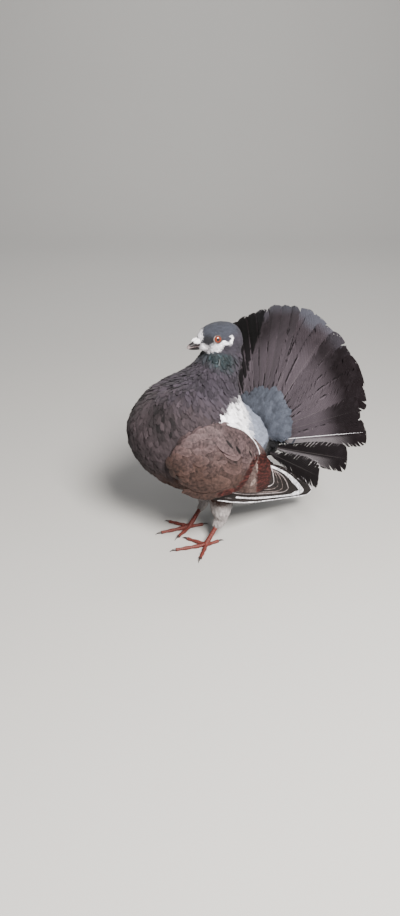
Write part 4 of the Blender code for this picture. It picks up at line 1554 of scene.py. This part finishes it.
def wing_skin(side):
    """Flesh of the folded wing, as a closed plate along its curved outer face."""
    mesh = bmesh.new()
    bmesh.ops.create_grid(mesh, x_segments=12, y_segments=40, size=1.0)
    grown = bmesh.ops.extrude_face_region(mesh, geom=mesh.faces[:], use_keep_orig=True)["geom"]
    inner = {item for item in grown if isinstance(item, bmesh.types.BMVert)}
    s = np.array([(vert.co.y + 1) / 2 for vert in mesh.verts])
    t = np.array([vert.co.x for vert in mesh.verts])
    face = np.array([1.0 if vert in inner else 0.0 for vert in mesh.verts])
    rows = blend_rows(WING_CORE, s * (len(WING_CORE) - 1))
    y = rows[:, 2] + (rows[:, 0] - rows[:, 2]) * (t + 1) / 2
    z = rows[:, 3] + (rows[:, 1] - rows[:, 3]) * (t + 1) / 2
    sink = WING_SINKS[0] + (WING_SINKS[1] - WING_SINKS[0]) * s * s + WING_EDGE_SINK * t**6
    x = side * (wing_x(y, z) - sink - face * rows[:, 4] * (1 - WING_EDGE_THINS * t * t))
    for vert, place in zip(mesh.verts, np.stack((x, y, z), axis=1)):
        vert.co = place
    return mesh


# Heading of the small feathers at the wing's front, in degrees, and how far they turn down behind
SHIELD_HEADING = -22
SHIELD_TURN = 16


def shield_flow(points, normals):
    """Way the small feathers of the wing lie: back and down."""
    heading = np.radians(SHIELD_HEADING - SHIELD_TURN * step_up(-20, 50, points[:, 1]))
    flow = np.stack((0 * heading, np.cos(heading), np.sin(heading)), axis=1)
    return along_skin(flow, normals)


# A row of wing feathers from front to rear: the ellipse its tips lie on as centre, radii and angles,
# then lengths, headings, half width, height over the wing's face at root and tip, how far the
# upper edge sinks for each millimetre, and the value of its mark "band"
WingRow = namedtuple("WingRow", "centre radii angles lengths headings half_width lifts tilt band")
WING_ROWS = {
    "secondaries": WingRow((16, 83), (42, 31), (-17, 37), (56, 44), (-16, -50), 8, (-2.4, 0.3), 0.13, 0),
    "greater": WingRow((-8, 108), (38, 26), (-95, 44), (32, 30), (-14, -42), 6.5, (-2.4, 1.4), 0.12, 1),
    "median": WingRow((-13, 112), (27, 21), (-100, 46), (24, 24), (-14, -42), 6, (-2.4, 2.1), 0.1, 2),
}
# Feathers of the arm's inner end, over the wing's rear: tip, heading, length, how far they bow
# upwards, and width and whiteness of the pale edge
TERTIALS = (
    ((11, 123), -58, 24, 2.0, 0.3, 0.1),
    ((18, 118), -58, 34, 2.5, 0.4, 0.1),
    ((25, 114), -57, 42, 3.0, 0.5, 0.1),
    ((32.5, 110), -55, 48, 3.5, 0.6, 0.2),
    ((40.5, 112.5), -46, 54, 3.5, 1.2, 0.8),
)
TERTIAL_HALF_WIDTH = 5
TERTIAL_LIFTS = (-2.0, 2.6)
TERTIAL_STACK = 0.45
TERTIAL_TILT = 0.2
# Flight feathers of the hand, outermost first: tip, length, width of the lower side, width of the
# upper side and how soon it is reached from the tip, then width and whiteness of the pale edge
PRIMARIES = (
    ((140, 30.0), 156, 7.0, 42, 50, 1.4, 1.0),
    ((136, 33.5), 150, 4.6, 42, 54, 0.5, 0.3),
    ((123, 36.0), 112, 4.8, 45, 57, 5.2, 1.0),
    ((107, 43.5), 104, 4.6, 34, 34, 0.3, 0.0),
    ((93, 51.5), 96, 4.6, 25, 18, 1.3, 0.2),
    ((82, 57.5), 88, 4.6, 25, 15, 1.0, 0.1),
    ((73, 64.0), 80, 4.6, 25, 13, 0.8, 0.1),
    ((65, 70.5), 72, 4.6, 28, 11, 1.2, 0.3),
    ((58, 77.0), 64, 4.6, 28, 11, 0.8, 0.1),
)
PRIMARY_STACK = 0.55
PRIMARY_LIFTS = (-7.5, -5.4)
PRIMARY_TILT = 0.1
PRIMARY_HEADINGS = (-16.5, -0.5)


def add_wing_row(plumes, side, row, count, rng):
    """One row of feathers whose tips lie along an arc."""
    for share in np.linspace(0, 1, count):
        angle = math.radians(part_way(row.angles, share))
        heading = math.radians(part_way(row.headings, share)) + math.radians(rng.normal(0, 1.2))
        tip = np.array(row.centre) + np.array(row.radii) * (math.cos(angle), math.sin(angle))
        tip += rng.normal(0, 0.4, 2)
        vane = Vane(part_way(row.lengths, share), row.half_width)
        place = wing_place(side, tip, vane, heading, row.lifts, row.tilt)
        blade(plumes, vane, place, spot_of(place), rng.random(), 0.2, side < 0, band=row.band)


def spot_of(place):
    """Where a feather counts as lying, for its colours."""
    none = np.zeros(1)
    return place(none + 0.8, none, none)[0]


def add_tertials(plumes, side, rng):
    """Broad feathers over the top of the wing, with a pale upper edge."""
    for rank, (tip, heading, length, bow, rim, white) in enumerate(TERTIALS):
        vane = Vane(length, TERTIAL_HALF_WIDTH)
        lifts = (TERTIAL_LIFTS[0], TERTIAL_LIFTS[1] - TERTIAL_STACK * rank)
        place = wing_place(side, tip, vane, math.radians(heading), lifts, TERTIAL_TILT, bow)
        upper = rim * (BLADE_ACROSS > -0.1)
        blade(plumes, vane, place, spot_of(place), rng.random(), 0.25, side < 0, rim=upper, white=white)


def add_primaries(plumes, side, rng):
    """Flight feathers of the hand, the innermost on top."""
    for rank, (tip, length, low, high, fall, rim, white) in enumerate(PRIMARIES):
        lifts = np.array(PRIMARY_LIFTS) + PRIMARY_STACK * rank
        vane = CutVane(length, low, high, fall)
        heading = math.radians(PRIMARY_HEADINGS[0] + PRIMARY_HEADINGS[1] * rank)
        place = wing_place(side, tip, vane, heading, lifts, PRIMARY_TILT)
        marks = {"rim": rim, "white": white, "flight": 1.0}
        blade(plumes, vane, place, spot_of(place), rng.random(), 0.2, side < 0, **marks)


# How deep below the wing's face its small feathers still grow, and how far back
SHIELD_DEPTH = 14
SHIELD_ENDS = 32


def shield_region(side):
    """Small feathers over the front and middle of the wing."""

    def where(points):
        x, y, z = points.T
        return (x * side > wing_x(y, z) - SHIELD_DEPTH) & (y < SHIELD_ENDS)

    return Region(
        where,
        even(12),
        even(3.3),
        width=0.34, lift=1.7, swing=0.2, roll=0.1, fray=0.6, seed=6,
    )


class PIGEON_OT_wings(bpy.types.Operator):
    """Make both folded wings: flesh, small feathers, coverts and flight feathers"""

    bl_idname = "pigeon.wings"
    bl_label = "Wings"

    def execute(self, context):
        settings = context.scene.pigeon_wing
        material = wing_paint()
        for name, side in SIDES.items():
            skin = from_bmesh("wing_skin_" + name, wing_skin(side), material)
            mark_skin(skin.data)
            plumes, = lay_small(Hide(skin.data), shield_region(side), shield_flow)
            rng = np.random.default_rng(20)
            add_primaries(plumes, side, rng)
            add_wing_row(plumes, side, WING_ROWS["secondaries"], settings.secondaries, rng)
            add_wing_row(plumes, side, WING_ROWS["greater"], settings.coverts, rng)
            add_wing_row(plumes, side, WING_ROWS["median"], settings.coverts, rng)
            add_tertials(plumes, side, rng)
            plumes.build("wing_feathers_" + name, material, "wing_feathers", ("wing_" + name,))
        return {"FINISHED"}


# Root, widest place, where it rounds off and how squarely: of a tail feather and of its coverts
FAN_VANE = (0.16, 0.8, 0.92, 3.4)
FAN_COVERT_VANE = (0.45, 0.6, 0.6, 2.2)
FAN_HALF_WIDTH = 15
FAN_FOOT = 12
FAN_TILT = 2.2
# Fray of the lowest feathers from the edge inwards and of all others, then the others' two
# degrees of splitting, and the shafts' widths
LOW_FRAY = (0.13, 0.04, 0.05)
HIGH_FRAY = 0.07
LOW_SPLIT = 0.5
HIGH_SPLITS = (0.3, 0.9)
LOW_QUILL = 1.0
HIGH_QUILL = 0.6
# Feathers counted from the edges that stand apart: degrees from their even places, how far
# their roots hang down, change of length and of half width
FAN_STRAYS = {
    0: (-4.5, 15, 0, 1),
    1: (-4.5, 11, -2, -1),
    2: (-6, 7, 2, -2),
    3: (-5, 3, -4, 0),
    4: (-3.5, 1, 4, 0),
    5: (-1.5, 0, 5, 0),
    6: (0, 0, 3, 0),
}
# Finish of the lowest feathers from the edge inwards: pale edges, a pale outer vane, a white shaft; the two
# lowest get a band mark so low that they are dark over most of their length, as painted shade
FAN_LOWEST = {
    0: {"rim": 1.0, "white": 0.35, "band": 0.2},
    1: {"flight": 1.0, "band": 0.0},
    2: {"flight": 1.0, "band": 0.62, "shaft": 1.0},
}
# Rows of coverts at the foot of the fan: feathers, share of the spread, radii of root and tip,
# half width, and distance in front of the fan at root, middle and tip
FAN_COVERTS = (
    (20, 0.8, (12, 56), 8, (2, 5.0, 2.4)),
    (18, 0.76, (12, 47), 7.5, (3, 6.4, 4.0)),
    (15, 0.72, (12, 38), 7, (4, 7.6, 5.6)),
    (16, 0.8, (12, 68), 9, (-2, -5.5, -3.2)),
    (15, 0.84, (12, 54), 8.5, (-3, -7, -5)),
    (13, 0.8, (12, 40), 8, (-4, -8.5, -7)),
)


def add_tail_feather(plumes, settings, rank, rng):
    """One long feather of the fan; those at its lower edges are looser and pale edged."""
    last = settings.feathers - 1
    from_edge = min(rank, last - rank)
    angle = math.degrees(FAN_HALF_SPREAD) * (2 * rank / last - 1)
    stray, drop, longer, wider = FAN_STRAYS.get(from_edge, (0, 0, 0, 0))
    angle = math.radians(angle + math.copysign(1, angle) * stray + rng.normal(0, 0.4))
    edge = max(0.0, 1 - (FAN_HALF_SPREAD - abs(angle)) / FAN_EDGE_SPREAD)
    reach = settings.radius * (1 - (1 - FAN_SHORTEST) * edge) * rng.uniform(0.985, 1.01) + longer
    half_width = FAN_HALF_WIDTH * (1 - (1 - FAN_NARROWEST) * edge) + wider
    vane = Vane(reach - FAN_FOOT, half_width, *FAN_VANE)
    nudge = 1.2 if rank == settings.feathers // 2 else 0
    offsets = (nudge, nudge + rng.normal(0, 0.3), nudge + rng.normal(0, 0.5))
    curl, twist = rng.uniform(-1, 4), rng.normal(0, 0.8)
    place = fan_place(angle, (FAN_FOOT, reach), offsets, vane, FAN_TILT, curl, twist, drop)
    marks = {"band": rng.uniform(0.6, 0.68), **FAN_LOWEST.get(from_edge, {})}
    marks["flight"] = -math.copysign(marks.get("flight", 0.0), angle)
    if from_edge < len(LOW_FRAY):
        fray, split, quill = LOW_FRAY[from_edge], LOW_SPLIT, LOW_QUILL
    else:
        fray, split, quill = HIGH_FRAY, rng.choice(HIGH_SPLITS), HIGH_QUILL
    barbed(plumes, vane, place, spot_of(place), rng.random(), rng, 44, 0.13, fray, split, quill, **marks)


def add_tail_coverts(plumes, rng):
    """Rows of soft feathers over the foot of the fan, in front and behind."""
    for count, share, radii, half_width, offsets in FAN_COVERTS:
        half = FAN_HALF_SPREAD * share
        for angle in np.linspace(-half, half, count):
            angle += math.radians(rng.normal(0, 1.2))
            reach = radii[1] * rng.uniform(0.92, 1.05)
            vane = Vane(reach - radii[0], half_width, *FAN_COVERT_VANE)
            tilt = 1.0 if offsets[0] > 0 else -1.0
            place = fan_place(angle, (radii[0], reach), offsets, vane, tilt, 0.0)
            barbed(plumes, vane, place, spot_of(place), rng.random(), rng, 14, 0.22, 0.15, 0.4, 0.4)


class PIGEON_OT_fan(bpy.types.Operator):
    """Spread the tail: its long feathers and the coverts at their foot"""

    bl_idname = "pigeon.fan"
    bl_label = "Fan"

    def execute(self, context):
        settings = context.scene.pigeon_fan
        rng = np.random.default_rng(30)
        plumes = Plumes()
        for rank in range(settings.feathers):
            add_tail_feather(plumes, settings, rank, rng)
        add_tail_coverts(plumes, rng)
        plumes.build("fan_feathers", fan_paint(), "tail_feathers", ("tail",))
        return {"FINISHED"}


def eye_matrix(side):
    """Matrix of an eye whose Z axis looks out."""
    looks = Vector((EYE_LOOKS.x * side, EYE_LOOKS.y, EYE_LOOKS.z))
    matrix = looks.to_track_quat("Z", "Y").to_matrix().to_4x4()
    matrix.translation = (EYE_CENTRE.x * side, EYE_CENTRE.y, EYE_CENTRE.z)
    return matrix


# Rings of the eye, as the two ends of a soft step in degrees from where it looks
IRIS_EDGE = (42, 50)
INNER_RING = (25, 32)
PUPIL_EDGE = (20, 22.5)
PUPIL_BLACK = (0.004, 0.004, 0.004)
# Front of the lids, which is pale: a slanting line before the eye's middle
LID_FRONT = (-3.2, -1.2)
LID_SLANT = 0.15


def eye_paint():
    """Orange red iris round a black pupil, under a clear wet surface."""
    tone = bpy.context.scene.pigeon_bare
    paint = Paint("eye", 0.35, Coat_Weight=0.5, Coat_Roughness=0.03, Specular_IOR_Level=0.2)
    turn = paint.number("turn")
    grain = paint.noise(paint.objects(), 2600.0, 3.0) - 0.5
    iris = tuple(tone.iris)
    base = paint.mix(scaled(iris, 0.12), iris, (turn + grain * 6).falls(*IRIS_EDGE))
    base = paint.mix(base, scaled(iris, 1.7), (turn + grain * 8).falls(*INNER_RING))
    base = paint.mix(base, PUPIL_BLACK, turn.falls(*PUPIL_EDGE))
    return paint.finish(base)


def lid_paint():
    """Dark beaded skin round the eye, pale in front."""
    tone = bpy.context.scene.pigeon_bare
    paint = Paint("lid", 0.6)
    beads = paint.noise(paint.objects(), 2200.0, 1.0)
    _, y, z = paint.split(paint.vector("spot"))
    front = (y - EYE_CENTRE.y + (z - EYE_CENTRE.z) * LID_SLANT).falls(*LID_FRONT)
    base = paint.mix(scaled(tone.lid, 0.16), tuple(tone.lid), front)
    base = paint.shade(base, 0.75 + beads * 0.5)
    return paint.finish(base, beads, 0.5, 0.0003)


class PIGEON_OT_eyes(bpy.types.Operator):
    """Make both eyes with iris and pupil, and the bare rings round them"""

    bl_idname = "pigeon.eyes"
    bl_label = "Eyes"

    def execute(self, context):
        eye, lid = eye_paint(), lid_paint()
        for name, side in SIDES.items():
            mesh = bmesh.new()
            bmesh.ops.create_uvsphere(mesh, u_segments=40, v_segments=36, radius=EYE_RADIUS)
            turns = [math.degrees(vert.co.angle(Vector((0, 0, 1)), 0.0)) for vert in mesh.verts]
            bmesh.ops.transform(mesh, matrix=eye_matrix(side), verts=mesh.verts[:])
            ball = from_bmesh("eyeball_" + name, mesh, eye, ("eye_" + name,))
            mark(ball.data, "turn", turns)
            mesh = bmesh.new()
            section = bmesh.ops.create_circle(
                mesh,
                segments=10,
                radius=1.0,
                matrix=Matrix.Translation((EYE_OPENING, 0, 0))
                @ Matrix.Rotation(math.radians(90), 4, "X")
                @ Matrix.Diagonal((*LID_HALVES, 1, 1)),
            )
            bmesh.ops.spin(
                mesh,
                geom=section["verts"] + mesh.edges[:],
                axis=(0, 0, 1),
                angle=math.tau,
                steps=40,
                use_merge=True,
            )
            lift = Matrix.Translation((0, 0, LID_OUT))
            bmesh.ops.transform(mesh, matrix=eye_matrix(side) @ lift, verts=mesh.verts[:])
            mark_own_spot(from_bmesh("eye_ring_" + name, mesh, lid).data)
        return {"FINISHED"}


# Pale parts of the bill: its tip, and a painted highlight along the edge of the mouth between two heights
PALE_HORN_AND_HIGHLIGHT = (0.25, 0.20, 0.20)
BILL_TIP = (-8.0, -5.5)
BILL_HIGHLIGHT_BOTTOM = (215.9, 216.3)
BILL_HIGHLIGHT_TOP = (217.3, 218.1)


def horn_paint():
    """Dark bill with a painted highlight along the edge of the mouth, greyish pink at its tip."""
    tone = bpy.context.scene.pigeon_bare
    paint = Paint("bill", 0.45, Specular_IOR_Level=0.2)
    _, y, z = paint.split(paint.vector("spot"))
    grain = paint.noise(paint.vector("spot"), 1.4, 3.0) - 0.5
    tip = (y + grain * 2).falls(*BILL_TIP) * 0.6
    # Painted highlight: a pale line along the edge of the mouth
    line = (z + grain).rises(*BILL_HIGHLIGHT_BOTTOM) * (z + grain * 2).falls(*BILL_HIGHLIGHT_TOP) * 0.85
    base = paint.mix(tuple(tone.horn), PALE_HORN_AND_HIGHLIGHT, tip.most(line))
    base = paint.shade(base, 1.0 + grain * 0.5)
    return paint.finish(base, grain, 0.2)


def cere_paint():
    """Powdery white swelling, greyer in patches."""
    tone = bpy.context.scene.pigeon_bare
    paint = Paint("cere", 0.85)
    spot = paint.vector("spot")
    grain = paint.noise(spot, 1.6, 4.0)
    base = paint.mix(scaled(tone.cere, 0.72), tuple(tone.cere), grain.rises(0.35, 0.55))
    return paint.finish(base, grain, 0.6, 0.0004)


class PIGEON_OT_bill(bpy.types.Operator):
    """Smooth both halves of the bill and the cere from their solids"""

    bl_idname = "pigeon.bill"
    bl_label = "Bill"

    def execute(self, context):
        horn, cere = horn_paint(), cere_paint()
        for name, node, material, slot in (
            ("upper_bill", "bill_upper", horn, "bill"),
            ("lower_bill", "bill_lower", horn, "bill"),
            ("bill_cere", "cere", cere, "cere"),
        ):
            data = melted(node_copy((node,)), BILL_VOXEL, BILL_ROUNDS)
            data.name = name
            mark_own_spot(data)
            add_object(name, data, material, (node,))
        return {"FINISHED"}


def foot_paint():
    """Pink scaled skin, duller between the scales."""
    tone = bpy.context.scene.pigeon_bare
    paint = Paint("leg_skin", 0.55, Subsurface_Weight=0.1, Subsurface_Scale=0.002, Specular_IOR_Level=0.25)
    scale = paint.number("scale")
    grain = paint.noise(paint.objects(), 800.0, 3.0) - 0.5
    skin = tuple(tone.foot)
    base = paint.mix(skin, scaled(skin, 0.45), (scale + grain * 0.4).falls(0.0, 0.45))
    base = paint.shade(base, 1.0 + grain * 0.35)
    return paint.finish(base, grain, 0.3, 0.0003)


def claw_paint():
    """Dark horn of the claws."""
    tone = bpy.context.scene.pigeon_bare
    paint = Paint("claw", 0.35)
    grain = paint.noise(paint.objects(), 500.0, 2.0) - 0.5
    base = paint.mix(tuple(tone.claw), PALE_CLAW, grain.rises(0.0, 0.4))
    return paint.finish(base, grain, 0.1)


def scaled_tube(mesh, layer, points, radii, scutes, segments):
    """Tube ringed by low overlapping scales, kept above the floor."""
    rings, marks = [], []
    last = len(points) - 1
    for index, (point, radius) in enumerate(zip(points, radii)):
        ahead = points[min(index + 1, last)] - points[max(index - 1, 0)]
        side = ahead.cross(Vector((0, 0, 1))).normalized()
        up = side.cross(ahead).normalized()
        phase = (index / last * scutes) % 1.0
        swell = 1 + SCUTE_SWELL * (phase - 0.5)
        rings.append((point, side * radius * swell, up * radius * swell))
        marks.append(phase)
    for index, vert in enumerate(add_tube(mesh, rings, segments)):
        vert[layer] = marks[index // segments]
        vert.co.z = max(vert.co.z, 0.0)


def smooth_points(points, count):
    """Evenly spaced points along a bent line."""
    places = np.linspace(0, len(points) - 1, count)
    return [Vector(row) for row in blend_rows(points, places)]


def add_toe(mesh, layer, base, ahead, reach, joints):
    """Toe with a swelling at each joint; gives its end."""
    scutes = round(reach / SCUTE_LENGTH)
    points, radii = [], []
    for step in np.linspace(0, 1, SCUTE_STEPS * scutes + 1):
        points.append(base + ahead * reach * step + Vector((0, 0, TOE_ROOT_RISE * (1 - step) ** 6)))
        pad = 1 + TOE_PAD * math.cos(math.tau * joints * step)
        radii.append((TOE_RADIUS - TOE_TAPER * step) * pad)
    scaled_tube(mesh, layer, points, radii, scutes, 14)
    return points[-1]


def make_claw(name, node, start, ahead, material):
    """Claw that arches forward from a toe's end and down to the floor."""
    mesh = bmesh.new()
    side = Vector((-ahead.y, ahead.x, 0))
    rings = []
    for step in np.linspace(0, 1, 13):
        drop = CLAW_ARCH * math.sin(math.pi * step) - (start.z - CLAW_TIP) * step * step
        centre = start + ahead * (CLAW_GAP + CLAW_LENGTH * step) + Vector((0, 0, drop))
        radius = CLAW_RADIUS * (1 - CLAW_THINS * step)
        rings.append((centre, side * radius * CLAW_WIDTH, Vector((0, 0, radius))))
    for vert in add_tube(mesh, rings, 12):
        vert.co.z = max(vert.co.z, 0.0)
    from_bmesh(name, mesh, material, (node,))


def make_foot(name, material, claw_material):
    """Shank, toes and claws of one side."""
    hock, joint = (Vector(point) for point in LEGS[name])
    mesh = bmesh.new()
    layer = mesh.verts.layers.float.new("scale")
    shank = smooth_points([hock, hock.lerp(joint, 0.5), joint], SHANK_STEPS)
    radii = np.interp(np.linspace(0, 2, SHANK_STEPS), (0, 1, 2), SHANK_RADII)
    scaled_tube(mesh, layer, shank, radii, SHANK_SCUTES, 16)
    base = Vector((joint.x, joint.y, TOE_HEIGHT))
    for toe, heading, reach, joints in TOES[name]:
        turn = math.radians(heading)
        ahead = Vector((math.sin(turn), -math.cos(turn), 0))
        end = add_toe(mesh, layer, base, ahead, reach, joints)
        which = name + "_" + toe
        make_claw("nail_" + which, "claw_" + which, end, ahead, claw_material)
    from_bmesh("foot_" + name, mesh, material, ("leg_" + name,))


class PIGEON_OT_feet(bpy.types.Operator):
    """Make the scaled shanks and toes, and their claws"""

    bl_idname = "pigeon.feet"
    bl_label = "Feet"

    def execute(self, context):
        material, claw_material = foot_paint(), claw_paint()
        for name in SIDES:
            make_foot(name, material, claw_material)
        return {"FINISHED"}


def add_light(name, place, aim, size, power, tone):
    """Square soft light that faces a point."""
    light = bpy.data.lights.new(name, "AREA")
    light.size = size
    light.energy = power
    light.color = tone
    thing = bpy.data.objects.new(name, light)
    thing.location = place
    thing.rotation_euler = (Vector(aim) - Vector(place)).to_track_quat("-Z", "Y").to_euler()
    bpy.context.scene.collection.objects.link(thing)


def sweep(tone):
    """Floor that curves up into a backdrop far behind the bird."""
    paint = Paint("floor", 0.9)
    grain = paint.noise(paint.objects(), 3.0, 2.0)
    base = paint.mix(tuple(tone), scaled(tone, 0.97), grain)
    mesh = bmesh.new()
    bmesh.ops.create_grid(mesh, x_segments=8, y_segments=96, size=SWEEP_HALF)
    for vert in mesh.verts:
        past = vert.co.y - SWEEP_STARTS
        if past > 0:
            turn = min(past / SWEEP_RADIUS, math.pi / 2)
            rest = past - turn * SWEEP_RADIUS
            vert.co.y = SWEEP_STARTS + SWEEP_RADIUS * math.sin(turn)
            vert.co.z = SWEEP_RADIUS * (1 - math.cos(turn)) + rest
    turned = Matrix.Rotation(math.atan2(CAMERA_RIGHT[1], CAMERA_RIGHT[0]), 4, "Z")
    bmesh.ops.transform(mesh, matrix=turned, verts=mesh.verts[:])
    data = bpy.data.meshes.new("floor")
    mesh.to_mesh(data)
    mesh.free()
    data.shade_smooth()
    data.materials.append(paint.finish(base))
    return bpy.data.objects.new("floor", data)


def surround(strength):
    """Even pale light from all sides."""
    world = bpy.data.worlds.new("surround")
    world.use_nodes = True
    background = world.node_tree.nodes["Background"]
    background.inputs["Color"].default_value = SKY
    background.inputs["Strength"].default_value = strength
    return world


def add_camera(right, away):
    """Camera at its place, level from side to side, that looks away and down."""
    camera = bpy.data.cameras.new("camera")
    camera.lens = FOCAL_PIXELS / PICTURE_HEIGHT * camera.sensor_width
    camera.clip_start = 0.05
    camera.clip_end = 30
    thing = bpy.data.objects.new("camera", camera)
    ahead = away * math.cos(CAMERA_PITCH) - Vector((0, 0, 1)) * math.sin(CAMERA_PITCH)
    turn = Matrix((right, right.cross(ahead), -ahead)).transposed().to_4x4()
    thing.matrix_world = Matrix.Translation(Vector(to_frame(CAMERA_PLACE))) @ turn
    bpy.context.scene.collection.objects.link(thing)
    bpy.context.scene.camera = thing


class PIGEON_OT_stage(bpy.types.Operator):
    """Set the floor, the lights and the camera"""

    bl_idname = "pigeon.stage"
    bl_label = "Stage"

    def execute(self, context):
        settings = context.scene.pigeon_stage
        floor = sweep(settings.floor)
        context.scene.collection.objects.link(floor)
        floor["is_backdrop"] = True

        low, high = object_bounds()
        aim = (low + high) / 2
        right = Vector(CAMERA_RIGHT).normalized()
        away = Vector((0, 0, 1)).cross(right)
        behind, backdrop = (away * far + Vector((0, 0, up)) for far, up in (BACK_PLACE, BACK_AIM))
        add_light("key", aim + Vector(KEY_FROM), aim, KEY_SIZE, settings.key, WARM)
        add_light("fill", aim + Vector(FILL_FROM), aim, FILL_SIZE, settings.fill, COOL)
        add_light("back", behind, backdrop, BACK_SIZE, settings.back, (1, 1, 1))
        context.scene.world = surround(settings.sky)
        add_camera(right, away)
        return {"FINISHED"}


PROPERTIES = {
    "pigeon_coat": CoatSettings,
    "pigeon_wing": WingSettings,
    "pigeon_fan": FanSettings,
    "pigeon_bare": BareSettings,
    "pigeon_stage": StageSettings,
}
OPERATORS = (
    PIGEON_OT_skin,
    PIGEON_OT_coat,
    PIGEON_OT_wings,
    PIGEON_OT_fan,
    PIGEON_OT_eyes,
    PIGEON_OT_bill,
    PIGEON_OT_feet,
    PIGEON_OT_stage,
)


class PIGEON_PT_panel(bpy.types.Panel):
    """Lists the pigeon's settings and pieces"""

    bl_idname = "PIGEON_PT_panel"
    bl_label = "Fantail pigeon"
    bl_space_type = "VIEW_3D"
    bl_region_type = "UI"
    bl_category = "Pigeon"

    def draw(self, context):
        for key, kind in PROPERTIES.items():
            group = getattr(context.scene, key)
            box = self.layout.box()
            for name in kind.__annotations__:
                box.prop(group, name)
        for operator in OPERATORS:
            self.layout.operator(operator.bl_idname)


def register():
    for kind in (*PROPERTIES.values(), *OPERATORS, PIGEON_PT_panel):
        bpy.utils.register_class(kind)
    for key, kind in PROPERTIES.items():
        setattr(bpy.types.Scene, key, PointerProperty(type=kind))


def unregister():
    for key in PROPERTIES:
        delattr(bpy.types.Scene, key)
    for kind in (PIGEON_PT_panel, *reversed(OPERATORS), *reversed(PROPERTIES.values())):
        bpy.utils.unregister_class(kind)


def main():
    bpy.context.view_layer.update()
    register()
    bpy.ops.pigeon.skin()
    bpy.ops.pigeon.coat()
    bpy.ops.pigeon.wings()
    bpy.ops.pigeon.fan()
    bpy.ops.pigeon.eyes()
    bpy.ops.pigeon.bill()
    bpy.ops.pigeon.feet()
    bpy.ops.pigeon.stage()


if __name__ == "__main__":
    main()
